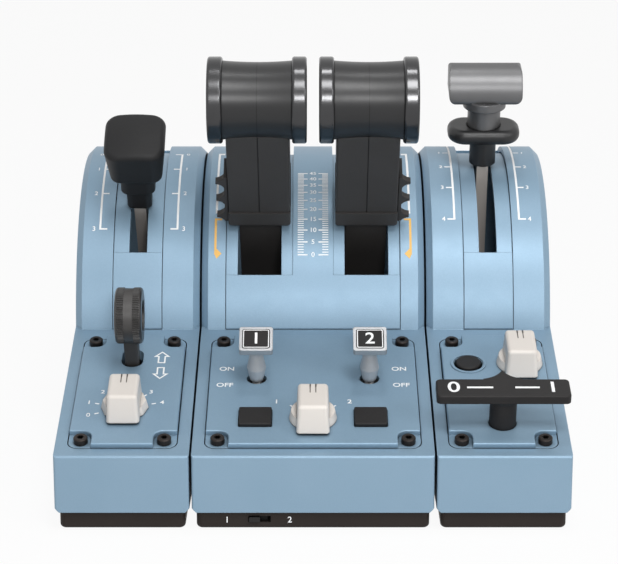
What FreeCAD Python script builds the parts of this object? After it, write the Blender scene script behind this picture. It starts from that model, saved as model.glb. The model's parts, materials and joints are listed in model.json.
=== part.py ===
"""Throttle quadrant: three joined modules with thrust, speed brake, gear and flaps levers.

Frame: X to the right, Y to the back, Z up; the origin is at the middle of the footprint on the desk.
Millimetres and degrees throughout.
"""

import FreeCAD, Part
import Sketcher
import os
import re
from math import atan2, cos, radians, sin, sqrt

Vector = FreeCAD.Vector
Rotation = FreeCAD.Rotation
Placement = FreeCAD.Placement

doc = FreeCAD.newDocument("ThrottleQuadrant")

# Driving dimensions, by the piece that they shape.
SIZES = {
    # Modules and their shells
    "rear_reach": 46.4,
    "main_width": 110.0,
    "side_width": 61.2,
    "module_gap": 1.0,
    "shell_wall": 3.0,
    "foot_height": 1.0,
    "foot_radius": 4.5,
    "foot_recess": 0.5,
    "foot_margin": 10.0,
    "tray_height": 8.4,
    "tray_inset": 2.0,
    "tray_floor": 2.5,
    "tray_wall": 3.0,
    "tray_corner": 3.0,
    "tray_edge": 1.8,
    "front_height": 27.0,
    "front_edge_round": 1.2,
    "side_bevel": 2.0,
    "rim_width": 14.5,
    "rim_height": 3.0,
    # Console slope and drum
    "console_slope": 15.2,
    "drum_setback": 189.6,
    "drum_rise": 17.4,
    "drum_radius": 84.6,
    "rear_round": 28.0,
    "drum_chamfer": 3.2,
    "seam": 0.3,
    "small_round": 1.0,
    # Console panels
    "panel_start": 6.6,
    "panel_length": 93.6,
    "panel_margin": 6.0,
    "panel_corner": 4.5,
    "panel_plate": 3.0,
    "panel_rise": 2.5,
    "panel_round": 0.6,
    "panel_ledge": 3.2,
    "ledge_notch": 7.5,
    "panel_gap": 0.3,
    "panel_seam": 0.5,
    "panel_ledge_thick": 3.0,
    "panel_notch": 10.5,
    "screw_inset": 5.6,
    "screw_front_inset": 4.6,
    "screw_head_radius": 3.25,
    "screw_head_height": 3.0,
    "screw_head_edge": 0.4,
    "screw_radius": 2.0,
    "screw_length": 9.0,
    "screw_socket": 1.6,
    "screw_socket_depth": 2.0,
    "boss_radius": 4.5,
    "boss_height": 5.0,
    "thread_gap": 0.1,
    "base_screw_inset": 11.5,
    "base_screw_along": 26.0,
    "base_screw_radius": 1.5,
    "base_screw_length": 9.0,
    "base_head_radius": 2.8,
    "base_head_height": 1.8,
    "base_boss_radius": 4.0,
    # Drum inserts
    "main_insert_width": 85.8,
    "side_insert_width": 24.0,
    "island_width": 20.0,
    "channel_shift": 5.3,
    "channel_step": 0.4,
    "channel_floor": 2.6,
    "main_slot_clear": 0.5,
    "side_slot_clear": 1.5,
    "main_slot_start": 26.0,
    "main_slot_end": 97.0,
    "main_insert_rise": 64.9,
    "side_slot_start": 33.8,
    "side_slot_end": 106.0,
    "side_insert_reach": 32.9,
    # Pivots inside the modules
    "axle_radius": 4.0,
    "axle_fit": 0.05,
    "axle_end": 3.0,
    "hub_radius": 11.0,
    "cheek_wall": 3.0,
    "cheek_radius": 10.0,
    "cheek_foot": 30.0,
    "cheek_gap": 0.4,
    "thrust_bracket_width": 89.0,
    "side_bracket_width": 36.0,
    "sensor_size": 12.0,
    "sensor_thick": 4.0,
    # Thrust levers
    "thrust_lean": 36.8,
    "blade_width": 20.6,
    "blade_depth": 24.0,
    "blade_foot": 18.0,
    "lever_lift": 0.7,
    "collar_proud": 0.25,
    "collar_depth": 34.0,
    "collar_height": 11.0,
    "collar_round": 3.0,
    "arm_inset": 1.3,
    "arm_depth": 32.0,
    "arm_round": 1.0,
    "arm_seam": 0.4,
    "head_height": 160.0,
    "head_width": 47.0,
    "head_gap": 5.8,
    "barrel_radius": 18.7,
    "barrel_waist": 18.0,
    "ring_radius": 20.6,
    "ring_width": 7.1,
    "ring_wall": 3.2,
    "ring_round": 1.2,
    "end_inset": 0.8,
    "seat_gap": 0.05,
    "button_radius": 6.0,
    "button_depth": 5.0,
    "button_proud": 1.0,
    "button_round": 0.8,
    "button_travel": 1.5,
    "latch_thick": 1.6,
    "latch_gap": 0.3,
    "latch_reach": 5.9,
    "latch_bottom": 88.0,
    "latch_pitch": 12.5,
    "latch_depth": 13.0,
    "latch_back": 1.5,
    "latch_fin_foot": 3.6,
    "latch_fin_tip": 0.8,
    "latch_fin_curve": 5.0,
    "latch_fin_depth": 3.0,
    "latch_rail_y": 8.0,
    "latch_rail_depth": 4.0,
    "latch_rail_reach": 3.0,
    "latch_rail_low": 100.0,
    "latch_rail_high": 114.0,
    "latch_travel": 8.0,
    # Levers of the side modules
    "bar_width": 5.8,
    "bar_depth": 8.0,
    "side_hub_radius": 9.0,
    "side_hub_width": 12.0,
    "neck_depth_share": 0.9,
    # Speed brake lever
    "speedbrake_lean": 36.0,
    "speedbrake_width": 30.6,
    "speedbrake_depth": 31.0,
    "speedbrake_shift": 1.5,
    "speedbrake_bottom": 109.5,
    "speedbrake_top": 133.2,
    "speedbrake_corner": 5.0,
    "speedbrake_edge": 3.0,
    "speedbrake_foot_edge": 2.4,
    "speedbrake_dome": 70.0,
    "speedbrake_taper": 2.7,
    "speedbrake_neck": 17.0,
    "speedbrake_neck_z": 98.0,
    "speedbrake_stem": 12.2,
    # Flaps lever
    "flaps_lean": 14.0,
    "flaps_width": 36.7,
    "flaps_depth": 17.0,
    "flaps_bottom": 120.0,
    "flaps_height": 17.2,
    "flaps_round": 2.5,
    "flaps_face": 14.0,
    "flaps_corner": 5.0,
    "flaps_neck_radius": 10.8,
    "flaps_neck_z": 116.7,
    "flaps_stem_radius": 8.3,
    "flaps_stem_z": 106.0,
    "flaps_sleeve_radius": 6.65,
    "flaps_collar_width": 36.4,
    "flaps_collar_depth": 22.0,
    "flaps_collar_flat": 2.0,
    "flaps_collar_height": 7.6,
    "flaps_collar_round": 3.4,
    "flaps_collar_bottom": 98.6,
    "flaps_collar_lift": 5.0,
    "collar_fit": 0.15,
    # Rotary knobs and their switches
    "knob_front": 14.6,
    "knob_rear": 9.8,
    "knob_draft": 2.2,
    "knob_side_draft": 0.65,
    "knob_width": 15.2,
    "knob_height": 14.2,
    "knob_undercut": 0.9,
    "knob_round": 1.8,
    "knob_skirt_radius": 11.0,
    "knob_skirt_height": 4.2,
    "knob_skirt_draft": 12.0,
    "knob_shaft_radius": 3.0,
    "knob_mark_width": 0.6,
    "knob_mark_spacing": 2.6,
    "knob_mark_length": 3.4,
    "knob_mark_depth": 0.6,
    "switch_half": 7.0,
    "switch_depth": 9.0,
    "mode_up": 27.3,
    "brake_knob_offset": -0.6,
    "brake_knob_up": 35.8,
    "trim_knob_offset": 12.2,
    "trim_knob_up": 74.5,
    # Push buttons
    "start_x": 26.6,
    "start_up": 27.4,
    "cap_half_x": 7.55,
    "cap_half_y": 7.1,
    "cap_corner": 0.8,
    "cap_proud": 1.6,
    "cap_edge": 0.4,
    "cap_travel": 1.2,
    "cap_flange": 1.0,
    "plunger_radius": 2.0,
    "plunger_length": 2.5,
    "cup_wall": 1.2,
    "cup_clearance": 1.8,
    "round_offset": -12.3,
    "round_up": 74.0,
    "round_cap_radius": 6.0,
    "round_cap_proud": 1.3,
    "round_cap_edge": 0.8,
    "round_cap_clear": 0.8,
    "round_lip_width": 1.2,
    "round_lip_gap": 0.4,
    "round_lip_height": 0.5,
    # Engine toggles
    "toggle_x": 26.65,
    "toggle_up": 60.9,
    "toggle_tilt": 3.0,
    "toggle_hole": 4.7,
    "toggle_pivot_depth": 3.5,
    "toggle_bushing_top": 1.6,
    "toggle_ball": 2.8,
    "toggle_neck": 1.7,
    "toggle_foot_z": 3.2,
    "toggle_foot_radius": 3.25,
    "toggle_wide_z": 10.5,
    "toggle_wide_radius": 4.5,
    "toggle_top_z": 23.0,
    "toggle_top_radius": 3.1,
    "toggle_socket": 2.5,
    "toggle_tile_z": 26.6,
    "toggle_tile_tilt": 15.0,
    "tile_width": 15.7,
    "tile_height": 14.5,
    "tile_thick": 3.2,
    "tile_corner": 1.2,
    "tile_border": 1.4,
    "tile_sunk": 0.4,
    # Gear lever
    "gear_offset": 0.0,
    "gear_up": 79.2,
    "gear_tilt": 8.9,
    "gear_slot_half": 8.0,
    "gear_slot_width": 10.3,
    "gear_pivot_depth": 10.5,
    "gear_reach": 38.4,
    "gear_stem_width": 6.7,
    "gear_stem_depth": 8.6,
    "gear_tenon": 6.0,
    "gear_hub_radius": 5.0,
    "gear_hub_width": 8.6,
    "gear_axle_radius": 2.0,
    "gear_cheek": 2.0,
    "gear_wheel_radius": 13.3,
    "gear_wheel_width": 12.7,
    "gear_wheel_round": 1.6,
    "gear_wheel_hub": 7.5,
    "gear_wheel_dish": 1.0,
    "gear_band": 4.4,
    "gear_band_sunk": 0.4,
    # Park brake
    "park_offset": 0.3,
    "park_up": 23.3,
    "park_radius": 6.2,
    "park_clear": 0.3,
    "park_height": 19.4,
    "park_thick": 4.2,
    "park_width": 61.0,
    "park_depth": 14.8,
    "park_shift": -0.4,
    "park_corner": 2.2,
    "park_edge": 0.8,
    "park_fillet": 3.0,
    "park_peak": 6.6,
    "park_peak_half": 9.0,
    "park_peak_tip": 0.3,
    "park_peak_curve": 12.0,
    "park_waist": 4.0,
    "park_travel": 4.0,
    "park_slider_clear": 1.0,
    "park_slider_height": 6.0,
    "park_slider_half": 6.5,
    "park_foot": 2.0,
    "slide_fit": 0.05,
    # Slide switch in the main tray
    "selector_x": -24.3,
    "selector_travel": 4.5,
    "selector_width": 5.0,
    "selector_height": 2.4,
    "selector_proud": 1.2,
    "selector_rise": 2.1,
    "selector_plate": 12.0,
    "selector_lip": 0.6,
    "selector_thick": 1.2,
    # Boards, data inlet and links between the modules
    "board_middle": 92.0,
    "board_length": 90.0,
    "board_rise": 4.0,
    "board_thick": 1.6,
    "board_foot": 2.5,
    "board_chip": 6.0,
    "usb_width": 9.0,
    "usb_height": 3.4,
    "usb_depth": 11.0,
    "usb_wall": 0.5,
    "usb_sunk": 0.4,
    "link_half": 20.0,
    "link_thick": 0.8,
    "link_pin": 1.5,
    "link_pin_length": 1.5,
    "connector_half": 9.0,
    "connector_height": 5.0,
    "connector_proud": 1.5,
}
sizes = doc.addObject("Spreadsheet::Sheet", "Sizes")
for row, (alias, size) in enumerate(SIZES.items(), start=1):
    sizes.set(f"A{row}", alias)
    sizes.set(f"B{row}", str(size))
    sizes.setAlias(f"B{row}", alias)
doc.recompute()


# Places that several pieces share, as formulas of the sizes.
SPLIT_Z = "(foot_height + tray_height)"
EDGE_Z = f"({SPLIT_Z} + front_height)"
DRUM_Z = f"({EDGE_Z} + drum_rise)"
DEPTH = "(drum_setback + rear_reach)"
FRONT_Y = f"(-{DEPTH}/2)"
DRUM_Y = f"({FRONT_Y} + drum_setback)"
SIDE_X = "(main_width/2 + module_gap + side_width/2)"
THRUST_X = "((head_width + head_gap)/2)"
BRAKE_KNOB_X = f"(brake_knob_offset - {SIDE_X})"
GEAR_X = f"(gear_offset - {SIDE_X})"
TRIM_KNOB_X = f"({SIDE_X} + trim_knob_offset)"
ROUND_X = f"({SIDE_X} + round_offset)"
PARK_X = f"({SIDE_X} + park_offset)"
# Square distance from the drum's centre to the console slope, and the slope's length up to the drum.
SLOPE_DROP = "(drum_setback*sin(console_slope) - drum_rise*cos(console_slope))"
SLOPE_REACH = "(drum_setback*cos(console_slope) + drum_rise*sin(console_slope))"

parts = []


def formula(text):
    """The text with each size's name turned into a link to its cell."""
    return re.sub(r"[A-Za-z_]\w*", lambda word: sheet_link(word.group()), text)


def sheet_link(word):
    return f"Sizes.{word}" if word in SIZES else word


def number(text):
    """The formula's value now, for first positions of sketch lines and for picking edges."""
    return float(sizes.evalExpression(str(text)))


def bind(owner, path, text):
    owner.setExpression(path, formula(text))


# Bodies, sketches and features ---------------------------------------------------------------

def put(piece, x="0", y="0", z="0", lean="0", prefix="Placement"):
    """Bind a placement: a point, and a lean about the X axis."""
    setattr(piece, prefix, Placement(Vector(), Rotation(Vector(1, 0, 0), 10)))
    for axis, text in zip("xyz", (x, y, z)):
        bind(piece, f"{prefix}.Base.{axis}", text)
    bind(piece, f"{prefix}.Rotation.Angle", lean)


def new_body(label, **place):
    body = doc.addObject("PartDesign::Body", label)
    body.Label = label
    put(body, **place)
    parts.append(body)
    return body


def sketch_on(body, plane, height="0", x="0", y="0", lean=None):
    """A sketch on one of the body's own planes, raised by height along its normal."""
    sketch = body.newObject("Sketcher::SketchObject", "Sketch")
    role = f"{plane}_Plane"
    sketch.AttachmentSupport = ([f for f in body.Origin.OriginFeatures if f.Role == role][0], [""])
    sketch.MapMode = "FlatFace"
    put(sketch, x, y, height, lean or "0", prefix="AttachmentOffset")
    return sketch


def tie(sketch, kind, *where):
    """Add a dimension whose value is the formula that comes last."""
    index = sketch.addConstraint(Sketcher.Constraint(kind, *where[:-1], number(where[-1])))
    bind(sketch, f"Constraints[{index}]", where[-1])


def outline(sketch, corners):
    """A closed outline. A corner is (x, y) or (x, y, radius): then an arc leads to it from the corner
    before, with its centre on the left of the way for a positive radius and on the right for a negative."""
    points = [Vector(number(corner[0]), number(corner[1]), 0) for corner in corners]
    first = sketch.GeometryCount
    ends = []
    for index, corner in enumerate(corners):
        start, end = points[index - 1], points[index]
        if len(corner) == 2:
            sketch.addGeometry(Part.LineSegment(start, end))
            ends.append((1, 2))
        else:
            ends.append(add_arc(sketch, start, end, number(corner[2])))
            tie(sketch, "Radius", first + index, f"abs({corner[2]})")
    for index in range(len(corners)):
        edge, before = first + index, first + (index - 1) % len(corners)
        sketch.addConstraint(
            Sketcher.Constraint("Coincident", before, ends[index - 1][1], edge, ends[index][0])
        )
    for index, corner in enumerate(corners):
        tie(sketch, "DistanceX", first + index, ends[index][1], corner[0])
        tie(sketch, "DistanceY", first + index, ends[index][1], corner[1])


def add_arc(sketch, start, end, radius):
    """An arc between two points; returns which of its ends are the start and the end of the way."""
    chord = end - start
    side = 1 if radius > 0 else -1
    rise = sqrt(max(radius ** 2 - (chord.Length / 2) ** 2, 0))
    across = Vector(-chord.y, chord.x, 0).normalize() * (side * rise)
    centre = (start + end) * 0.5 + across
    first, last = (start, end) if side > 0 else (end, start)
    angles = [atan2(point.y - centre.y, point.x - centre.x) for point in (first, last)]
    circle_curve = Part.Circle(centre, Vector(0, 0, 1), abs(radius))
    sketch.addGeometry(Part.ArcOfCircle(circle_curve, *angles))
    return (1, 2) if side > 0 else (2, 1)


def rectangle(sketch, left, right, bottom, top):
    outline(sketch, [(left, bottom), (right, bottom), (right, top), (left, top)])


def rounded(left, right, bottom, top, radius):
    """Corners of a rectangle with round corners, counter-clockwise."""
    return [
        (f"{left} + {radius}", bottom),
        (f"{right} - {radius}", bottom),
        (right, f"{bottom} + {radius}", radius),
        (right, f"{top} - {radius}"),
        (f"{right} - {radius}", top, radius),
        (f"{left} + {radius}", top),
        (left, f"{top} - {radius}", radius),
        (left, f"{bottom} + {radius}"),
        (f"{left} + {radius}", bottom, radius),
    ][1:]


def circle(sketch, x, y, radius):
    middle = Vector(number(x), number(y), 0)
    index = sketch.addGeometry(Part.Circle(middle, Vector(0, 0, 1), number(radius)))
    tie(sketch, "Radius", index, radius)
    tie(sketch, "DistanceX", index, 3, x)
    tie(sketch, "DistanceY", index, 3, y)


def sector(centre_x, centre_y, inner, outer, start, end):
    """Corners of a ring sector between two angles in degrees, each under half a turn apart."""
    def polar(radius, angle):
        return f"{centre_x} + {radius}*cos({angle})", f"{centre_y} + {radius}*sin({angle})"
    return [
        polar(outer, start),
        (*polar(outer, end), outer),
        polar(inner, end),
        (*polar(inner, start), f"-({inner})"),
    ]


def pad(body, sketch, length, symmetric=False, away=False, taper=None, cut=False):
    kind = "PartDesign::Pocket" if cut else "PartDesign::Pad"
    feature = body.newObject(kind, "Pocket" if cut else "Pad")
    feature.Profile = sketch
    if symmetric:
        feature.SideType = "Symmetric"
    feature.Reversed = away
    bind(feature, "Length", length)
    if taper:
        bind(feature, "TaperAngle", taper)
    return feature


def pocket(body, sketch, length, **options):
    return pad(body, sketch, length, cut=True, **options)


def revolve(body, sketch, axis="V_Axis", cut=False):
    """A full turn of the sketch about one of its own axes."""
    feature = body.newObject("PartDesign::Groove" if cut else "PartDesign::Revolution", "Turn")
    feature.Profile = sketch
    feature.ReferenceAxis = (sketch, [axis])
    feature.Angle = 360
    return feature


def edges_where(shape, test):
    return [f"Edge{index}" for index, edge in enumerate(shape.Edges, start=1) if test(edge)]


def dress(body, kind, test, size):
    """Fillet or chamfer the edges of the body so far that pass the test."""
    doc.recompute()
    base = body.Tip
    names = edges_where(base.Shape, test)
    if not names:
        raise RuntimeError(f"{body.Label}: no edge to {kind.lower()}")
    feature = body.newObject(f"PartDesign::{kind}", kind)
    feature.Base = (base, names)
    bind(feature, "Radius" if kind == "Fillet" else "Size", size)
    doc.recompute()
    return feature


def near(value, target):
    return abs(value - target) < 1e-3


def mirror(body, features, role):
    feature = body.newObject("PartDesign::Mirrored", "Mirrored")
    feature.Originals = features
    feature.MirrorPlane = ([f for f in body.Origin.OriginFeatures if f.Role == f"{role}_Plane"][0], [""])
    body.Tip = feature
    return feature


def group(label, members):
    """Like solids that share one node."""
    for member in members:
        parts.remove(member)
    compound = doc.addObject("Part::Compound", label)
    compound.Label = label
    compound.Links = members
    parts.append(compound)
    return compound

# Shells of the modules -----------------------------------------------------------------------

REAR_MIDDLE = "(rear_reach - rear_round)"
REAR_RISE = f"sqrt((drum_radius - rear_round)^2 - {REAR_MIDDLE}^2)"


def drum_corner(radius, drop):
    """Where a line at the console's slope, dropped below it, meets a circle about the drum's centre, in
    the module's side view: distance behind the front face, height above the desk."""
    run = f"({SLOPE_REACH} - sqrt({radius}^2 - ({SLOPE_DROP} - {drop})^2))"
    y = f"({run}*cos(console_slope) + {drop}*sin(console_slope))"
    z = f"({EDGE_Z} + {run}*sin(console_slope) - {drop}*cos(console_slope))"
    return y, z


CORNER_Y, CORNER_Z = drum_corner("drum_radius", "0")
CORNER_ANGLE = f"asin(({CORNER_Z} - {DRUM_Z})/drum_radius)"


def from_drum(radius, angle, shift="0", shift_angle="0"):
    """A point of the side view at an angle above the forward horizontal, about the drum's centre or about
    a centre shifted from it."""
    return (
        f"drum_setback - {shift}*cos({shift_angle}) - ({radius})*cos({angle})",
        f"{DRUM_Z} + {shift}*sin({shift_angle}) + ({radius})*sin({angle})",
    )


def side_view(inset, drop, bottom):
    """The module's outline seen from its side; inset from the outer faces and dropped at the console."""
    radius = f"(drum_radius - {inset})"
    share = f"({radius}/(drum_radius - rear_round))"
    return [
        (inset, bottom),
        (inset, f"{EDGE_Z} + {inset}*tan(console_slope) - {drop}/cos(console_slope)"),
        drum_corner(radius, drop),
        (f"drum_setback + {REAR_MIDDLE}*{share}", f"{DRUM_Z} + {REAR_RISE}*{share}", f"-{radius}"),
        (f"{DEPTH} - {inset}", f"{DRUM_Z} + {REAR_RISE}", f"-(rear_round - {inset})"),
        (f"{DEPTH} - {inset}", bottom),
    ]


def console_sketch(body, height="0"):
    """A sketch on the console's slope: x to the right, y up the slope from the front edge."""
    return sketch_on(body, "XY", y=f"-({height})*sin(console_slope)",
                     height=f"{EDGE_Z} + ({height})*cos(console_slope)", lean="console_slope")


def panel_half(width):
    return f"({width}/2 - panel_margin)"


def screw_places(width):
    """The four screws of a console panel, in console coordinates."""
    across = f"({panel_half(width)} - screw_inset)"
    low = "(panel_start + screw_front_inset)"
    high = "(panel_start + panel_length - screw_front_inset)"
    return [(f"{side}{across}", up) for side in ("-", "") for up in (low, high)]


def notched(half, low, high, notch, radius):
    """Corners of a rectangle whose four corners are cut out by square notches, round at their inside."""
    inner = f"({half} - {notch})"
    turn = f"({notch} - {radius})"
    return [
        (f"-{inner}", low), (inner, low),
        (inner, f"{low} + {turn}"), (f"{inner} + {radius}", f"{low} + {notch}", f"-{radius}"),
        (half, f"{low} + {notch}"), (half, f"{high} - {notch}"),
        (f"{inner} + {radius}", f"{high} - {notch}"), (inner, f"{high} - {turn}", f"-{radius}"),
        (inner, high), (f"-{inner}", high),
        (f"-{inner}", f"{high} - {turn}"), (f"-({inner} + {radius})", f"{high} - {notch}", f"-{radius}"),
        (f"-{half}", f"{high} - {notch}"), (f"-{half}", f"{low} + {notch}"),
        (f"-({inner} + {radius})", f"{low} + {notch}"), (f"-{inner}", f"{low} + {turn}", f"-{radius}"),
    ]


PANEL_LOW = "panel_start"
PANEL_HIGH = "(panel_start + panel_length)"
CONSOLE_THICK = "(panel_plate + panel_ledge_thick)"
TOP_Z = f"({DRUM_Z} + drum_radius + shell_wall)"


def insert_slot(body, width, main):
    """Cut the drum open over the width of its insert, from the console to behind the top."""
    inner = "(drum_radius - 3*channel_shift)"
    start = from_drum(inner, CORNER_ANGLE)
    mouth = from_drum("(drum_radius + shell_wall)", CORNER_ANGLE)
    if main:
        low = f"({DRUM_Z} + main_insert_rise - seam)"
        inner_end = (f"drum_setback + sqrt({inner}^2 - (main_insert_rise - seam)^2)", low)
        tail = [(f"{DEPTH} + shell_wall", TOP_Z), (f"{DEPTH} + shell_wall", low), inner_end]
    else:
        reach = "(side_insert_reach + seam)"
        rear = f"drum_setback + {reach}"
        tail = [(rear, TOP_Z), (rear, f"{DRUM_Z} + sqrt({inner}^2 - {reach}^2)")]
    sketch = sketch_on(body, "YZ")
    outline(sketch, [(*start, inner), mouth, (mouth[0], TOP_Z), *tail])
    pocket(body, sketch, f"{width} + 2*seam", symmetric=True)


def housing(label, x, width, insert_width, main):
    """A moulded shell: front face, console slope and quarter drum, open below."""
    body = new_body(label, x=x, y=FRONT_Y)
    profile = sketch_on(body, "YZ")
    outline(profile, side_view("0", "0", SPLIT_Z))
    pad(body, profile, width, symmetric=True)
    half, corner_y = number(f"{width}/2"), number(CORNER_Y)
    edge_z, low = number(EDGE_Z), number(SPLIT_Z)

    def on_side(edge):
        box = edge.BoundBox
        return near(abs(box.XMin), half) and near(box.XMin, box.XMax)

    def on_drum_side(edge):
        return on_side(edge) and edge.BoundBox.YMin > corner_y - 0.01

    def on_low_side(edge):
        return on_side(edge) and near(edge.BoundBox.ZMax, low)

    def on_front(edge):
        box = edge.BoundBox
        level = near(box.ZMin, edge_z)
        return near(box.YMin, 0) and near(box.YMax, 0) and (level or on_side(edge))

    dress(body, "Chamfer", on_drum_side, "drum_chamfer")
    dress(body, "Chamfer", on_low_side, "side_bevel")
    dress(body, "Fillet", on_front, "front_edge_round")
    cavity = sketch_on(body, "YZ")
    outline(cavity, side_view("shell_wall", CONSOLE_THICK, f"{SPLIT_Z} + rim_height"))
    pocket(body, cavity, f"{width} - 2*(shell_wall + drum_chamfer/2)", symmetric=True)
    mouth = sketch_on(body, "XY", height=SPLIT_Z)
    rectangle(mouth, f"-({width}/2 - rim_width)", f"{width}/2 - rim_width", "rim_width",
              f"{DEPTH} - rim_width")
    pocket(body, mouth, "rim_height + 1", away=True)
    bosses = console_sketch(body, f"-{CONSOLE_THICK}")
    for place in screw_places(width):
        circle(bosses, *place, "boss_radius")
    pad(body, bosses, "boss_height", away=True)
    recess = console_sketch(body)
    edge = f"({panel_half(width)} + panel_seam)"
    outline(recess, rounded(f"-{edge}", edge, f"({PANEL_LOW} - panel_seam)",
                            f"({PANEL_HIGH} + panel_seam)", "(panel_corner + panel_seam)"))
    pocket(body, recess, "panel_plate")
    opening = console_sketch(body)
    outline(opening, notched(f"({panel_half(width)} - panel_ledge)", f"({PANEL_LOW} + panel_ledge)",
                             f"({PANEL_HIGH} - panel_ledge)", "ledge_notch", "panel_corner"))
    pocket(body, opening, f"{CONSOLE_THICK} + 1")
    holes = console_sketch(body)
    for place in screw_places(width):
        circle(holes, *place, "screw_radius + thread_gap")
    pocket(body, holes, f"{CONSOLE_THICK} + boss_height - 1")
    insert_slot(body, insert_width, main)
    for across, along in underside_places(width):
        hole = sketch_on(body, "XY", height=SPLIT_Z)
        circle(hole, across, along, "base_screw_radius + thread_gap")
        pocket(body, hole, "rim_height + 1", away=True)
    return body


def underside_places(width):
    """The tray's screws into the rim of its housing, in module coordinates."""
    across = f"({width}/2 - base_screw_inset)"
    return [(f"{side}{across}", along) for side in ("-", "")
            for along in ("base_screw_along", f"{DEPTH} - base_screw_along")]


def foot_places(width):
    """The rubber feet under one tray, in module coordinates."""
    across = f"({width}/2 - tray_inset - foot_margin)"
    return [(f"{side}{across}", along) for side in ("-", "")
            for along in ("tray_inset + foot_margin", f"{DEPTH} - tray_inset - foot_margin")]


def tray(label, x, width):
    """The black base: a shallow tray with a floor, walls and round lower edges."""
    body = new_body(label, x=x, y=FRONT_Y)
    floor = sketch_on(body, "XY", height="foot_height")
    outline(floor, rounded(f"-({width}/2 - tray_inset)", f"({width}/2 - tray_inset)", "tray_inset",
                           f"({DEPTH} - tray_inset)", "tray_corner"))
    pad(body, floor, "tray_height")
    low = number("foot_height")
    dress(body, "Fillet", lambda edge: near(edge.BoundBox.ZMax, low), "tray_edge")
    inside = sketch_on(body, "XY", height=SPLIT_Z)
    inset = "(tray_inset + tray_wall)"
    outline(inside, rounded(f"-({width}/2 - {inset})", f"({width}/2 - {inset})", inset,
                            f"({DEPTH} - {inset})", "(tray_corner/2)"))
    pocket(body, inside, "tray_height - tray_floor")
    posts = sketch_on(body, "XY", height="foot_height + tray_floor")
    for place in underside_places(width):
        circle(posts, *place, "base_boss_radius")
    pad(body, posts, "tray_height - tray_floor")
    recesses = sketch_on(body, "XY", height="foot_height")
    for place in foot_places(width):
        circle(recesses, *place, "foot_radius + seat_gap")
    pocket(body, recesses, "foot_recess", away=True)
    heads = sketch_on(body, "XY", height="foot_height")
    for place in underside_places(width):
        circle(heads, *place, "base_head_radius + thread_gap")
    pocket(body, heads, "base_head_height", away=True)
    shanks = sketch_on(body, "XY", height="foot_height")
    for place in underside_places(width):
        circle(shanks, *place, "base_screw_radius + thread_gap")
    pocket(body, shanks, "tray_height", away=True)
    return body


def panel(label, x, width):
    """A console panel: a plate flush with the slope, raised between its four screw notches."""
    body = new_body(label, x=x, y=FRONT_Y)
    half = panel_half(width)
    plate = console_sketch(body)
    outline(plate, rounded(f"-{half}", half, PANEL_LOW, PANEL_HIGH, "panel_corner"))
    pad(body, plate, "panel_plate", away=True)
    raised = console_sketch(body)
    outline(raised, notched(half, PANEL_LOW, PANEL_HIGH, "panel_notch", "panel_corner"))
    pad(body, raised, "panel_rise")
    rise = number("panel_rise")
    slope = radians(number("console_slope"))
    edge_z = number(EDGE_Z)

    def on_top(edge):
        heights = [(v.Point.z - edge_z) * cos(slope) - v.Point.y * sin(slope) for v in edge.Vertexes]
        return all(near(height, rise) for height in heights)

    dress(body, "Fillet", on_top, "panel_round")
    holes = console_sketch(body)
    for place in screw_places(width):
        circle(holes, *place, "screw_radius + thread_gap")
    pocket(body, holes, "panel_plate")
    return body


def panel_holes(body, *holes):
    """Cut round or slotted openings (a list of corners) through a panel."""
    for corners in holes:
        sketch = console_sketch(body, "panel_rise")
        if len(corners) == 3:
            circle(sketch, *corners)
        else:
            outline(sketch, corners)
        pocket(body, sketch, "panel_rise + panel_plate")


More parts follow.
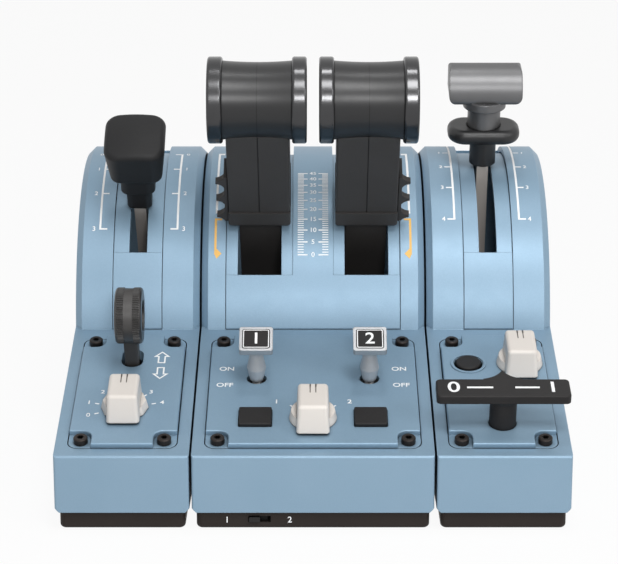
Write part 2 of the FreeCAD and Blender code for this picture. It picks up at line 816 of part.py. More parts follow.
def drum_insert(label, x, width, slot_start, slot_end, main):
    """The strip of drum around the lever slots: flush at its foot, then sinking into open channels whose
    floor is a smaller circle, shifted towards the foot of the slots."""
    body = new_body(label, x=x, y=FRONT_Y)
    floor = "(drum_radius - channel_shift - channel_step)"
    inner = f"({floor} - channel_floor)"
    shift = ("channel_shift", slot_start)
    start = f"({CORNER_ANGLE} + seam/drum_radius*1 rad)"
    tangent = (f"drum_setback + {REAR_MIDDLE}*drum_radius/(drum_radius - rear_round)",
               f"{DRUM_Z} + {REAR_RISE}*drum_radius/(drum_radius - rear_round)", "-drum_radius")
    middle_y = f"(channel_shift*cos({slot_start}))"
    middle_z = f"(channel_shift*sin({slot_start}))"
    if main:
        rise = "main_insert_rise"
        level = f"{DRUM_Z} + {rise}"
        outer_end = (f"drum_setback + {REAR_MIDDLE} + sqrt(rear_round^2 - ({rise} - {REAR_RISE})^2)", level)
        inner_end = (f"drum_setback - {middle_y} + sqrt({inner}^2 - ({rise} - {middle_z})^2)", level)
    else:
        reach = "side_insert_reach"
        rear = f"drum_setback + {reach}"
        outer_end = (rear, f"{DRUM_Z} + {REAR_RISE} + sqrt(rear_round^2 - ({reach} - {REAR_MIDDLE})^2)")
        inner_end = (rear, f"{DRUM_Z} + {middle_z} + sqrt({inner}^2 - ({reach} + {middle_y})^2)")
    strip = sketch_on(body, "YZ")
    outline(strip, [(*from_drum(inner, start, *shift), inner), from_drum("drum_radius", start), tangent,
                    (*outer_end, "-rear_round"), inner_end])
    pad(body, strip, width, symmetric=True)
    foot = from_drum(floor, slot_start, *shift)
    lip = from_drum(f"({floor} + 3*channel_shift)", slot_start, *shift)
    behind = from_drum(floor, "150", *shift)
    channel = [(*foot, floor), lip, (lip[0], TOP_Z), (f"{DEPTH} + shell_wall", TOP_Z),
               (f"{DEPTH} + shell_wall", behind[1]), behind]
    slot = sector("drum_setback", DRUM_Z, "(drum_radius - 3*channel_shift)",
                  "(drum_radius + shell_wall)", f"(180 - {slot_end})", f"(180 - {slot_start})")
    if main:
        cut = sketch_on(body, "YZ", height="island_width/2")
        outline(cut, channel)
        channel_cut = pocket(body, cut, f"{width}/2", away=True)
        slit = sketch_on(body, "YZ", height=THRUST_X)
        outline(slit, slot)
        slot_cut = pocket(body, slit, "blade_width + 2*main_slot_clear", symmetric=True)
        mirror(body, [channel_cut, slot_cut], "YZ")
    else:
        cut = sketch_on(body, "YZ")
        outline(cut, channel)
        pocket(body, cut, f"{width} + 1", symmetric=True)
        slit = sketch_on(body, "YZ")
        outline(slit, slot)
        pocket(body, slit, "bar_width + 2*side_slot_clear", symmetric=True)
    return body

# Levers: each in its own frame, with the drum's centre at the origin and Z along the lever ----------

COLLAR_Z = "(drum_radius + lever_lift)"
ARM_Z = f"({COLLAR_Z} + collar_height)"
BARREL_HALF = "(head_width/2 - ring_width)"
ARM_HALF = f"({BARREL_HALF} - arm_inset)"
COLLAR_HALF = f"({ARM_HALF} + collar_proud)"
# The round under the collar ends short of the blade.
COLLAR_ROUND = f"min(collar_round; {COLLAR_HALF} - blade_width/2 - 0.1)"
BARREL_DIP = "(barrel_radius - barrel_waist)"
WAIST_ARC = f"(({BARREL_HALF}^2 + {BARREL_DIP}^2)/(2*{BARREL_DIP}))"
RING_BORE = "(ring_radius - ring_wall)"
HEAD_END = "(head_width/2 - end_inset)"


def lever_body(label, x, lean):
    return new_body(label, x=x, y=DRUM_Y, z=DRUM_Z, lean=lean)


def hub(body, radius, width):
    boss = sketch_on(body, "YZ")
    circle(boss, "0", "0", radius)
    pad(body, boss, width, symmetric=True)


def axle_bore(body, width):
    bore = sketch_on(body, "YZ")
    circle(bore, "0", "0", "axle_radius + axle_fit")
    pocket(body, bore, f"{width} + 1", symmetric=True)


def thrust_arm(label, x, side):
    """One thrust lever's moulded arm: hub, blade through the slot, collar and block under the head."""
    body = lever_body(label, x, "thrust_lean")
    hub(body, "hub_radius", "blade_width")
    blade = sketch_on(body, "YZ")
    outline(blade, [("-blade_foot/2", "0"), ("blade_foot/2", "0"), ("blade_depth/2", COLLAR_Z),
                    ("-blade_depth/2", COLLAR_Z)])
    pad(body, blade, "blade_width", symmetric=True)
    collar = sketch_on(body, "XY", height=COLLAR_Z)
    outline(collar, rounded(f"-{COLLAR_HALF}", COLLAR_HALF, "-collar_depth/2", "collar_depth/2",
                            "arm_round"))
    pad(body, collar, "collar_height")
    level = number(COLLAR_Z)
    edge_x = number(COLLAR_HALF)
    dress(body, "Fillet",
          lambda edge: near(edge.BoundBox.ZMax, level) and near(abs(edge.BoundBox.XMin), edge_x)
          and near(edge.BoundBox.XMin, edge.BoundBox.XMax), COLLAR_ROUND)
    block = sketch_on(body, "XY", height=ARM_Z)
    outline(block, rounded(f"-{ARM_HALF}", ARM_HALF, "-arm_depth/2", "arm_depth/2", "arm_round"))
    pad(body, block, f"head_height - {ARM_Z}")
    saddle = sketch_on(body, "XZ", y="head_height")
    half = f"({BARREL_HALF} + seat_gap)"
    outline(saddle, [(f"-{half}", "0"), (half, "0"), (half, "barrel_radius + seat_gap"),
                     (f"-{half}", "barrel_radius + seat_gap", f"-{WAIST_ARC}")])
    revolve(body, saddle, "H_Axis", cut=True)
    axle_bore(body, "blade_width")
    seam_line = sketch_on(body, "XZ", height="arm_depth/2")
    rectangle(seam_line, "-arm_seam/2", "arm_seam/2", ARM_Z, "head_height")
    pocket(body, seam_line, "arm_seam")
    rail = sketch_on(body, "XZ", height="latch_rail_y + latch_rail_depth/2 + latch_gap")
    outer = f"{side}*({ARM_HALF} + 1)"
    inner = f"{side}*({ARM_HALF} - latch_rail_reach - latch_gap)"
    rectangle(rail, inner, outer, "latch_rail_low - latch_gap",
              "latch_rail_high + latch_travel + latch_gap")
    pocket(body, rail, "latch_rail_depth + 2*latch_gap")
    return body


def thrust_head(label, x, side):
    """The waisted barrel of a thrust lever's head, with a bore for the button in its outer end."""
    body = lever_body(label, x, "thrust_lean")
    core = f"({RING_BORE} - seat_gap)"
    barrel = sketch_on(body, "XZ", y="head_height")
    outline(barrel, [(f"-{HEAD_END}", "0"), (HEAD_END, "0"), (HEAD_END, core), (BARREL_HALF, core),
                     (BARREL_HALF, "barrel_radius"), (f"-{BARREL_HALF}", "barrel_radius", f"-{WAIST_ARC}"),
                     (f"-{BARREL_HALF}", core), (f"-{HEAD_END}", core)])
    revolve(body, barrel, "H_Axis")
    bore = sketch_on(body, "YZ", height=f"{side}*{HEAD_END}", y="head_height")
    circle(bore, "0", "0", "button_radius + thread_gap")
    pocket(body, bore, "button_depth + button_travel", away=side == "-1")
    return body


def thrust_rings(label, x):
    """The two glossy rings at the ends of a thrust lever's head."""
    rings = []
    for end in ("-1", "1"):
        ring = lever_body(f"{label}_{len(rings) + 1}", x, "thrust_lean")
        section = sketch_on(ring, "XZ", y="head_height")
        near_x, far_x = f"{end}*({BARREL_HALF} + seat_gap)", f"{end}*head_width/2"
        rectangle(section, near_x, far_x, RING_BORE, "ring_radius")
        revolve(ring, section, "H_Axis")
        radius = number("ring_radius")
        dress(ring, "Fillet", lambda edge: near(edge.BoundBox.YMax, radius), "ring_round")
        rings.append(ring)
    return group(label, rings)


def disconnect_button(label, x, side):
    """The round button in the outer end of a thrust lever's head."""
    body = lever_body(label, x, "thrust_lean")
    cap = sketch_on(body, "YZ", height=f"{side}*({HEAD_END} - button_depth)", y="head_height")
    circle(cap, "0", "0", "button_radius")
    pad(body, cap, "button_depth + button_proud", away=side == "-1")
    outer = number(f"{HEAD_END} + button_proud")
    dress(body, "Fillet", lambda edge: near(abs(edge.BoundBox.XMin), outer)
          and near(edge.BoundBox.XMin, edge.BoundBox.XMax), "button_round")
    return body


def reverser_latch(label, x, side):
    """The slide on the outer side of a thrust lever, with three fins and a rail that runs in the arm."""
    body = lever_body(label, x, "thrust_lean")
    base = f"{side}*({ARM_HALF} + latch_gap)"
    face = f"{side}*({ARM_HALF} + latch_gap + latch_thick)"
    tip = f"{side}*({ARM_HALF} + latch_reach)"
    curve = f"-{side}*latch_fin_curve"
    front = "(arm_depth/2 - latch_back)"
    plate = sketch_on(body, "XZ", height=front)
    rectangle(plate, base, face, "latch_bottom", "latch_bottom + 2*(latch_fin_foot + latch_pitch)")
    pad(body, plate, "latch_depth", away=True)
    fins = sketch_on(body, "XZ", height=front)
    for fin in range(3):
        middle = f"latch_bottom + latch_fin_foot + {fin}*latch_pitch"
        low, high = f"{middle} - latch_fin_foot", f"{middle} + latch_fin_foot"
        outline(fins, [(base, low), (face, low), (tip, f"{middle} - latch_fin_tip", curve),
                       (tip, f"{middle} + latch_fin_tip"), (face, high, curve), (base, high)])
    pad(body, fins, "latch_fin_depth", away=True)
    rail = sketch_on(body, "XZ", height="latch_rail_y + latch_rail_depth/2")
    rectangle(rail, f"{side}*({ARM_HALF} - latch_rail_reach)", f"{side}*({ARM_HALF} + 1)",
              "latch_rail_low", "latch_rail_high")
    pad(body, rail, "latch_rail_depth", away=True)
    return body


def lever_bar(label, x, lean, top):
    """The flat steel bar of a side module's lever, on its hub."""
    body = lever_body(label, x, lean)
    hub(body, "side_hub_radius", "side_hub_width")
    bar = sketch_on(body, "XY")
    rectangle(bar, "-bar_width/2", "bar_width/2", "-bar_depth/2", "bar_depth/2")
    pad(body, bar, top)
    axle_bore(body, "side_hub_width")
    return body


def trim(body, plane, corners, margin, low, high, depth):
    """Cut away all that lies outside an outline, seen square to one of the body's planes."""
    sketch = sketch_on(body, plane)
    rectangle(sketch, f"-{margin}", margin, low, high)
    outline(sketch, corners)
    pocket(body, sketch, depth, symmetric=True)


def bar_socket(body, low, depth):
    socket = sketch_on(body, "XY", height=low)
    rectangle(socket, "-bar_width/2 - seat_gap", "bar_width/2 + seat_gap", "-bar_depth/2 - seat_gap",
              "bar_depth/2 + seat_gap")
    pocket(body, socket, depth, away=True)


def speedbrake_knob(label):
    """A cushion-shaped knob that widens to its domed top, over a neck that steps down to the bar."""
    body = lever_body(label, f"-{SIDE_X}", "speedbrake_lean")
    low, top = "speedbrake_bottom", "speedbrake_top"
    foot_x = "(speedbrake_width/2 - speedbrake_taper)"
    foot_y = "(speedbrake_depth/2 - speedbrake_taper)"
    height = f"({top} - {low})"
    foot = sketch_on(body, "XY", height=low)
    outline(foot, rounded(f"-{foot_x}", foot_x, f"(speedbrake_shift - {foot_y})",
                          f"(speedbrake_shift + {foot_y})", "speedbrake_corner"))
    pad(body, foot, height, taper=f"atan(speedbrake_taper/{height})")
    dome = sketch_on(body, "XZ", height="-speedbrake_shift")
    rim = "speedbrake_depth"
    outline(dome, [("0", top), (rim, f"{top} - speedbrake_dome + sqrt(speedbrake_dome^2 - {rim}^2)",
                                "-speedbrake_dome"), (rim, f"{top} + 1"), ("0", f"{top} + 1")])
    revolve(body, dome, cut=True)
    level = number(f"({top} + {low})/2")
    dress(body, "Fillet", lambda edge: edge.BoundBox.ZMin > level, "speedbrake_edge")
    dress(body, "Fillet", at_height(number(low)), "speedbrake_foot_edge")
    neck_body(body, [("speedbrake_neck", "speedbrake_neck_z", low),
                     ("speedbrake_stem", COLLAR_Z, "speedbrake_neck_z")])
    bar_socket(body, COLLAR_Z, f"speedbrake_bottom - {COLLAR_Z} + 3")
    return body


def neck_body(body, steps):
    """Stacked round-cornered necks: (width, from, to)."""
    for width, low, high in steps:
        step = sketch_on(body, "XY", height=low)
        outline(step, rounded(f"-{width}/2", f"{width}/2", f"-{width}*neck_depth_share/2",
                              f"{width}*neck_depth_share/2", f"({width}/4)"))
        pad(body, step, f"{high} - {low}")


def flaps_knob(label):
    """A cross handle whose top rolls over to its front, on a stepped round stem."""
    body = lever_body(label, SIDE_X, "flaps_lean")
    low, top = "flaps_bottom", "(flaps_bottom + flaps_height)"
    half, half_depth = "flaps_width/2", "flaps_depth/2"
    side_profile = sketch_on(body, "YZ")
    outline(side_profile, [
        (f"flaps_round - {half_depth}", low), (f"{half_depth} - flaps_round", low),
        (half_depth, f"{low} + flaps_round", "flaps_round"), (half_depth, f"{top} - flaps_round"),
        (f"{half_depth} - flaps_round", top, "flaps_round"),
        (f"-{half_depth}", f"{low} + flaps_round", "flaps_face"),
        (f"flaps_round - {half_depth}", low, "flaps_round"),
    ][1:])
    pad(body, side_profile, "flaps_width", symmetric=True)
    front = [
        (f"-({half} - flaps_corner)", low, "flaps_corner"), (f"{half} - flaps_corner", low),
        (half, f"{low} + flaps_corner", "flaps_corner"),
        (half, f"{top} - flaps_round"), (f"{half} - flaps_round", top, "flaps_round"),
        (f"-({half} - flaps_round)", top), (f"-{half}", f"{top} - flaps_round", "flaps_round"),
        (f"-{half}", f"{low} + flaps_corner"),
    ]
    trim(body, "XZ", front, "flaps_width", f"{low} - 1", f"{top} + 1", "2*flaps_depth")
    for radius, foot in (("flaps_neck_radius", "flaps_neck_z"), ("flaps_stem_radius", "flaps_stem_z")):
        neck = sketch_on(body, "XY", height=foot)
        circle(neck, "0", "0", radius)
        pad(body, neck, f"{low} + 1 - {foot}")
    bar_socket(body, "flaps_stem_z", "flaps_bottom - flaps_stem_z")
    return body


def flaps_collar(label):
    """The collar that is lifted to leave a detent: an oval plate on a sleeve that slides on the bar."""
    body = lever_body(label, SIDE_X, "flaps_lean")
    low = "flaps_collar_bottom"
    plate = sketch_on(body, "XY", height=low)
    outline(plate, rounded("-flaps_collar_width/2", "flaps_collar_width/2", "-flaps_collar_depth/2",
                           "flaps_collar_depth/2", "(flaps_collar_depth/2 - flaps_collar_flat)"))
    pad(body, plate, "flaps_collar_height")
    dress(body, "Fillet", lambda edge: near(edge.BoundBox.ZMin, edge.BoundBox.ZMax),
          "flaps_collar_round")
    sleeve = sketch_on(body, "XY", height=COLLAR_Z)
    circle(sleeve, "0", "0", "flaps_sleeve_radius")
    pad(body, sleeve, f"{low} + 1 - {COLLAR_Z}")
    well = sketch_on(body, "XY", height=f"{low} + flaps_collar_height")
    circle(well, "0", "0", "flaps_stem_radius + latch_gap")
    pocket(body, well, "flaps_collar_lift + latch_gap")
    bore = sketch_on(body, "XY", height=COLLAR_Z)
    rectangle(bore, "-bar_width/2 - collar_fit", "bar_width/2 + collar_fit",
              "-bar_depth/2 - collar_fit", "bar_depth/2 + collar_fit")
    pocket(body, bore, f"{low} + flaps_collar_height - {COLLAR_Z}", away=True)
    return body

# Console controls: each in its own frame, on the panel's top face with Z square to it ----------------

UNDER = "(panel_rise + panel_plate)"


def console_body(label, x, up, depth="0", tilt="0"):
    """A body with its origin at the panel's top face, or below it, and leant further to the user."""
    height = f"(panel_rise - {depth})"
    return new_body(
        label, x=x,
        y=f"{FRONT_Y} + {up}*cos(console_slope) - {height}*sin(console_slope)",
        z=f"{EDGE_Z} + {up}*sin(console_slope) + {height}*cos(console_slope)",
        lean=f"console_slope + {tilt}",
    )


def disc(body, radius, low, high, **options):
    sketch = sketch_on(body, "XY", height=low)
    circle(sketch, "0", "0", radius)
    return pad(body, sketch, f"{high} - ({low})", **options)


def block(body, half_x, half_y, low, high, radius, cut=False):
    """A round-cornered block about the body's Z axis."""
    sketch = sketch_on(body, "XY", height=low)
    outline(sketch, rounded(f"-{half_x}", half_x, f"-{half_y}", half_y, radius))
    return pad(body, sketch, f"{high} - ({low})", cut=cut, away=cut)


def at_height(level):
    return lambda edge: near(edge.BoundBox.ZMin, level) and near(edge.BoundBox.ZMax, level)


def rotary_knob(label, x, up, facets):
    """A pointer knob: a drafted grip block, long towards the user, on a skirt and a shaft."""
    body = console_body(label, x, up)
    low, top = "(panel_gap + knob_undercut)", "(panel_gap + knob_height)"
    profile = sketch_on(body, "YZ")
    outline(profile, [("-knob_front", low), ("knob_rear", low), ("knob_rear - knob_draft", top),
                      ("knob_draft - knob_front", top)])
    pad(body, profile, "knob_width", symmetric=True)
    half = "(knob_width/2)"
    front = [(f"-{half}", low), (half, low), (f"{half} - knob_side_draft", top),
             (f"knob_side_draft - {half}", top)]
    trim(body, "XZ", front, "knob_width", f"{low} - 1", f"{top} + 1", "4*knob_front")
    bottom = number(low)
    dress(body, "Fillet", lambda edge: edge.BoundBox.ZMax > bottom + 1, "knob_round")
    skirt = sketch_on(body, "XY", height="panel_gap")
    if facets:
        outline(skirt, [(f"knob_skirt_radius*cos({turn}*360/{facets})",
                         f"knob_skirt_radius*sin({turn}*360/{facets})") for turn in range(facets)])
    else:
        circle(skirt, "0", "0", "knob_skirt_radius")
    pad(body, skirt, "knob_skirt_height", taper="-knob_skirt_draft")
    disc(body, "knob_shaft_radius", f"-({UNDER} + switch_depth - 2)", "panel_gap + knob_skirt_height/2")
    marks = sketch_on(body, "XY", height=top)
    for middle in ("-knob_mark_spacing/2", "knob_mark_spacing/2"):
        rectangle(marks, f"{middle} - knob_mark_width/2", f"{middle} + knob_mark_width/2",
                  "knob_rear - knob_draft - knob_mark_length", "knob_rear + 1")
    pocket(body, marks, "knob_mark_depth")
    return body


def rotary_switch(label, x, up):
    """The switch under a knob, hung from the panel's underside, with a bore for the shaft."""
    body = console_body(label, x, up, depth=UNDER)
    block(body, "switch_half", "switch_half", "-switch_depth", "0", "small_round")
    bore = sketch_on(body, "XY")
    circle(bore, "0", "0", "knob_shaft_radius + axle_fit")
    pocket(body, bore, "switch_depth - 1")
    return body


def push_button(label, x, up, round_cap):
    """A push button: a cap through the panel on a wider flange below it, with a plunger."""
    body = console_body(label, x, up)
    flange_top = f"-({UNDER} + panel_gap)"
    flange_low = f"({flange_top} - cap_flange)"
    if round_cap:
        disc(body, "round_cap_radius", flange_top, "round_cap_proud")
        top, edge = "round_cap_proud", "round_cap_edge"
    else:
        block(body, "cap_half_x", "cap_half_y", flange_top, "cap_proud", "cap_corner")
        top, edge = "cap_proud", "cap_edge"
    dress(body, "Fillet", at_height(number(top)), edge)
    if round_cap:
        disc(body, "round_cap_radius + cap_flange", flange_low, flange_top)
    else:
        block(body, "(cap_half_x + cap_flange)", "(cap_half_y + cap_flange)", flange_low, flange_top,
              "cap_corner")
    disc(body, "plunger_radius", f"{flange_low} - plunger_length", flange_low)
    return body


def push_switch(label, x, up, half_x, half_y):
    """The cup under a push button, hung from the panel's underside, which holds its flange."""
    body = console_body(label, x, up, depth=UNDER)
    inner_x, inner_y = f"({half_x} + cap_flange + panel_gap)", f"({half_y} + cap_flange + panel_gap)"
    depth = "(panel_gap + cap_flange + plunger_length + cap_travel + cup_clearance)"
    block(body, f"({inner_x} + cup_wall)", f"({inner_y} + cup_wall)", f"-({depth} + cup_wall)", "0",
          "small_round")
    block(body, inner_x, inner_y, f"-{depth}", "0", "small_round", cut=True)
    return body


def toggle_stem(label, x):
    """A toggle's bright lever: a ball in the switch's socket, and a bat that widens and narrows again."""
    body = console_body(label, x, "toggle_up", depth="toggle_pivot_depth", tilt="toggle_tilt")
    ball, neck = "toggle_ball", "toggle_neck"
    rise = f"sqrt({ball}^2 - {neck}^2)"
    bat = sketch_on(body, "XZ")
    outline(bat, [("0", f"-{ball}"), (neck, rise, ball), (neck, "toggle_foot_z"),
                  ("toggle_foot_radius", "toggle_foot_z + toggle_ball/4"),
                  ("toggle_wide_radius", "toggle_wide_z"),
                  ("toggle_top_radius", "toggle_top_z - 2*toggle_socket"),
                  ("toggle_top_radius", "toggle_top_z"), ("0", "toggle_top_z")])
    revolve(body, bat)
    return body


def toggle_cap(label, x):
    """The square tile on a toggle's end, faced to the user, with a sunken field inside its frame."""
    body = console_body(label, x, "toggle_up", depth="toggle_pivot_depth", tilt="toggle_tilt")
    tile = sketch_on(body, "XY", height="toggle_tile_z", lean="toggle_tile_tilt")
    outline(tile, rounded("-tile_width/2", "tile_width/2", "-tile_height/2", "tile_height/2",
                          "tile_corner"))
    pad(body, tile, "tile_thick", away=True)
    field = sketch_on(body, "XY", height="toggle_tile_z", lean="toggle_tile_tilt")
    outline(field, rounded("-tile_width/2 + tile_border", "tile_width/2 - tile_border",
                           "-tile_height/2 + tile_border", "tile_height/2 - tile_border", "tile_corner"))
    pocket(body, field, "tile_sunk")
    seat = "(toggle_top_z - toggle_socket)"
    boss = sketch_on(body, "XY", height=seat)
    circle(boss, "0", "0", "toggle_top_radius + cup_wall")
    pad(body, boss, f"toggle_tile_z - tile_thick/2 - {seat}")
    socket = sketch_on(body, "XY", height=f"{seat} - 2")
    circle(socket, "0", "0", "toggle_top_radius + seat_gap")
    pocket(body, socket, "toggle_socket + 2 + seat_gap", away=True)
    return body


def toggle_switch(label, x):
    """A toggle's switch: a block under the panel and a bushing in the panel's hole with a ball socket."""
    body = console_body(label, x, "toggle_up", depth="toggle_pivot_depth")
    under = f"(toggle_pivot_depth - {UNDER})"
    block(body, "switch_half", "switch_half", f"{under} - switch_depth", under, "small_round")
    disc(body, "toggle_hole - panel_gap", under, "toggle_bushing_top")
    ball = "(toggle_ball + axle_fit)"
    rise = "toggle_bushing_top"
    socket = sketch_on(body, "XZ")
    outline(socket, [("0", f"-{ball}"), (f"sqrt({ball}^2 - {rise}^2)", rise, ball), ("0", rise)])
    revolve(body, socket, cut=True)
    return body


def gear_stem(label):
    """The gear lever's stem on a hub under the panel, ending in a tenon inside the wheel."""
    body = console_body(label, GEAR_X, "gear_up", depth="gear_pivot_depth", tilt="gear_tilt")
    boss = sketch_on(body, "YZ")
    circle(boss, "0", "0", "gear_hub_radius")
    pad(body, boss, "gear_hub_width", symmetric=True)
    block(body, "(gear_stem_width/2)", "(gear_stem_depth/2)", "0", "gear_reach - gear_tenon", "small_round")
    bore = sketch_on(body, "YZ")
    circle(bore, "0", "0", "gear_axle_radius + axle_fit")
    pocket(body, bore, "2*gear_hub_width", symmetric=True)
    return body


def gear_wheel(label):
    """The tyre-shaped knob of the gear lever, with sunken hub faces and a smooth middle band."""
    body = console_body(label, GEAR_X, "gear_up", depth="gear_pivot_depth", tilt="gear_tilt")
    half = "gear_wheel_width/2"
    tyre = sketch_on(body, "XZ", y="gear_reach")
    outline(tyre, [
        (f"{half} - gear_wheel_dish", "0"), (f"{half} - gear_wheel_dish", "gear_wheel_hub"),
        (half, "gear_wheel_hub"), (half, "gear_wheel_radius - gear_wheel_round"),
        (f"{half} - gear_wheel_round", "gear_wheel_radius", "gear_wheel_round"),
        ("gear_band/2", "gear_wheel_radius"), ("gear_band/2", "gear_wheel_radius - gear_band_sunk"),
        ("-gear_band/2", "gear_wheel_radius - gear_band_sunk"), ("-gear_band/2", "gear_wheel_radius"),
        (f"gear_wheel_round - {half}", "gear_wheel_radius"),
        (f"-{half}", "gear_wheel_radius - gear_wheel_round", "gear_wheel_round"),
        (f"-{half}", "gear_wheel_hub"), (f"gear_wheel_dish - {half}", "gear_wheel_hub"),
        (f"gear_wheel_dish - {half}", "0"),
    ])
    revolve(body, tyre, "H_Axis")
    socket = sketch_on(body, "XY", height="gear_reach - gear_wheel_radius - 1")
    outline(socket, rounded("-gear_stem_width/2 - seat_gap", "gear_stem_width/2 + seat_gap",
                            "-gear_stem_depth/2 - seat_gap", "gear_stem_depth/2 + seat_gap",
                            "small_round"))
    pocket(body, socket, "gear_wheel_radius + 1 - gear_tenon + seat_gap", away=True)
    return body


def gear_bracket(label):
    """Two cheeks under the panel that carry the gear lever's pin, joined by a floor."""
    body = console_body(label, GEAR_X, "gear_up", depth=UNDER)
    inner = "(gear_hub_width/2 + cheek_gap)"
    outer = f"({inner} + gear_cheek)"
    pivot = f"(gear_pivot_depth - {UNDER})"
    floor = f"({pivot} + gear_hub_radius + gear_tenon/2)"
    block(body, outer, "gear_hub_radius", f"-{floor}", "0", "small_round")
    gap = sketch_on(body, "XY")
    rectangle(gap, f"-{inner}", inner, "-2*gear_hub_radius", "2*gear_hub_radius")
    pocket(body, gap, f"{floor} - gear_cheek")
    bore = sketch_on(body, "YZ", y=f"-{pivot}")
    circle(bore, "0", "0", "gear_axle_radius + seat_gap")
    pocket(body, bore, f"3*{outer}", symmetric=True)
    return body


def gear_pin(label):
    body = console_body(label, GEAR_X, "gear_up", depth="gear_pivot_depth")
    pin = sketch_on(body, "YZ")
    circle(pin, "0", "0", "gear_axle_radius")
    pad(body, pin, "gear_hub_width + 2*(cheek_gap + gear_cheek)", symmetric=True)
    return body


def park_bar(label):
    """The flat crossbar of the park brake, with a small peak at the back of its middle."""
    body = console_body(label, PARK_X, "park_up")
    half, half_depth = "(park_width/2)", "(park_depth/2)"
    foot = "park_height - park_thick"
    plate = sketch_on(body, "XY", height=foot)
    outline(plate, rounded(f"(park_shift - {half})", f"(park_shift + {half})", f"-{half_depth}", half_depth,
                           "park_corner"))
    pad(body, plate, "park_thick")
    dress(body, "Fillet", at_height(number("park_height")), "park_edge")
    peak = sketch_on(body, "XY", height=foot)
    outline(peak, [
        ("park_peak_half", f"{half_depth} - park_edge"), ("park_peak_half", half_depth),
        ("park_peak_tip", f"{half_depth} + park_peak", "-park_peak_curve"),
        ("-park_peak_tip", f"{half_depth} + park_peak"),
        ("-park_peak_half", half_depth, "-park_peak_curve"),
        ("-park_peak_half", f"{half_depth} - park_edge"),
    ])
    pad(body, peak, "park_thick")
    boss = sketch_on(body, "XZ")
    outline(boss, [("0", f"{foot} - park_fillet"), ("park_radius", f"{foot} - park_fillet"),
                   ("park_radius + park_fillet/2", foot, "-park_fillet"),
                   ("park_radius + park_fillet/2", f"{foot} + 1"), ("0", f"{foot} + 1")])
    revolve(body, boss)
    return body


PARK_SHOULDER = f"({UNDER} + park_travel + park_slider_clear)"
PARK_END = f"({PARK_SHOULDER} + park_slider_height + 2*panel_gap)"


def park_stem(label):
    """The round stem of the park brake, with a waist below the panel that holds the slider."""
    body = console_body(label, PARK_X, "park_up")
    disc(body, "park_radius", f"-{PARK_SHOULDER}", "park_height - park_thick - park_fillet")
    disc(body, "park_waist", f"-{PARK_END}", f"-{PARK_SHOULDER}")
    disc(body, "park_radius", f"-({PARK_END} + park_foot)", f"-{PARK_END}")
    return body


def park_slider(label):
    """The square block that keeps the park brake's stem straight: it slides but can't turn."""
    body = console_body(label, PARK_X, "park_up")
    high = f"-({PARK_SHOULDER} + panel_gap)"
    low = f"({high} - park_slider_height)"
    block(body, "park_slider_half", "park_slider_half", low, high, "small_round")
    bore = sketch_on(body, "XY", height=high)
    circle(bore, "0", "0", "park_waist + axle_fit")
    pocket(body, bore, "park_slider_height + 1")
    return body


def park_guide(label):
    """The square tube under the panel in which the slider runs."""
    body = console_body(label, PARK_X, "park_up", depth=UNDER)
    half = "(park_slider_half + slide_fit)"
    depth = f"({PARK_END} - {UNDER} + park_foot + 2*panel_gap + cup_wall)"
    block(body, f"({half} + cup_wall)", f"({half} + cup_wall)", f"-{depth}", "0", "small_round")
    block(body, half, half, f"cup_wall - {depth}", "0", "small_round", cut=True)
    return body


SELECTOR_Z = "(foot_height + tray_floor + selector_rise)"


def selector_slide(label):
    """The small slide switch in the front wall of the main tray: a nub on a plate behind the wall."""
    body = new_body(label, x="selector_x - selector_travel/2", y=f"{FRONT_Y} + tray_inset", z=SELECTOR_Z)
    nub = sketch_on(body, "XZ", height="selector_proud")
    outline(nub, rounded("-selector_width/2", "selector_width/2", "-selector_height/2",
                         "selector_height/2", "0.4"))
    pad(body, nub, "selector_proud + tray_wall + panel_gap + selector_thick/2", away=True)
    plate = sketch_on(body, "XZ", height="-(tray_wall + panel_gap)")
    rectangle(plate, "-selector_plate/2", "selector_plate/2", "-selector_height/2 - selector_lip",
              "selector_height/2 + selector_lip")
    pad(body, plate, "selector_thick", away=True)
    return body

# Pieces inside and under the modules -------------------------------------------------------------

FLOOR_Z = "(foot_height + tray_floor)"


def bracket(label, x, width, middles, hub_width):
    """A steel stand on the tray's floor with a pair of cheeks round each lever's hub."""
    body = new_body(label, x=x, y=DRUM_Y)
    base = sketch_on(body, "XY", height=FLOOR_Z)
    rectangle(base, f"-{width}/2", f"{width}/2", "-cheek_foot/2", "cheek_foot/2")
    pad(body, base, "cheek_wall")
    for middle in middles:
        for side in ("-", ""):
            near_x = f"{middle} + {side}({hub_width}/2 + cheek_gap + cheek_wall/2)"
            cheek = sketch_on(body, "YZ", height=near_x)
            outline(cheek, [("cheek_foot/2", FLOOR_Z), ("cheek_radius", DRUM_Z),
                            ("0", f"{DRUM_Z} + cheek_radius", "cheek_radius"),
                            ("-cheek_radius", DRUM_Z, "cheek_radius"), ("-cheek_foot/2", FLOOR_Z)])
            pad(body, cheek, "cheek_wall", symmetric=True)
    bore = sketch_on(body, "YZ")
    circle(bore, "0", DRUM_Z, "axle_radius + seat_gap")
    pocket(body, bore, f"2*{width}", symmetric=True)
    return body


def axle(label, x, half):
    body = lever_body(label, x, "0")
    rod = sketch_on(body, "YZ")
    circle(rod, "0", "0", "axle_radius")
    pad(body, rod, f"2*{half}", symmetric=True)
    return body


def lever_sensor(label, x, side):
    """The position sensor on the outside of a cheek, round the axle's end."""
    body = lever_body(label, x, "0")
    case = sketch_on(body, "YZ")
    outline(case, rounded("-sensor_size/2", "sensor_size/2", "-sensor_size/2", "sensor_size/2",
                          "small_round"))
    pad(body, case, "sensor_thick", away=side == "-")
    bore = sketch_on(body, "YZ")
    circle(bore, "0", "0", "axle_radius + seat_gap")
    pocket(body, bore, "axle_end + seat_gap", away=side == "")
    return body


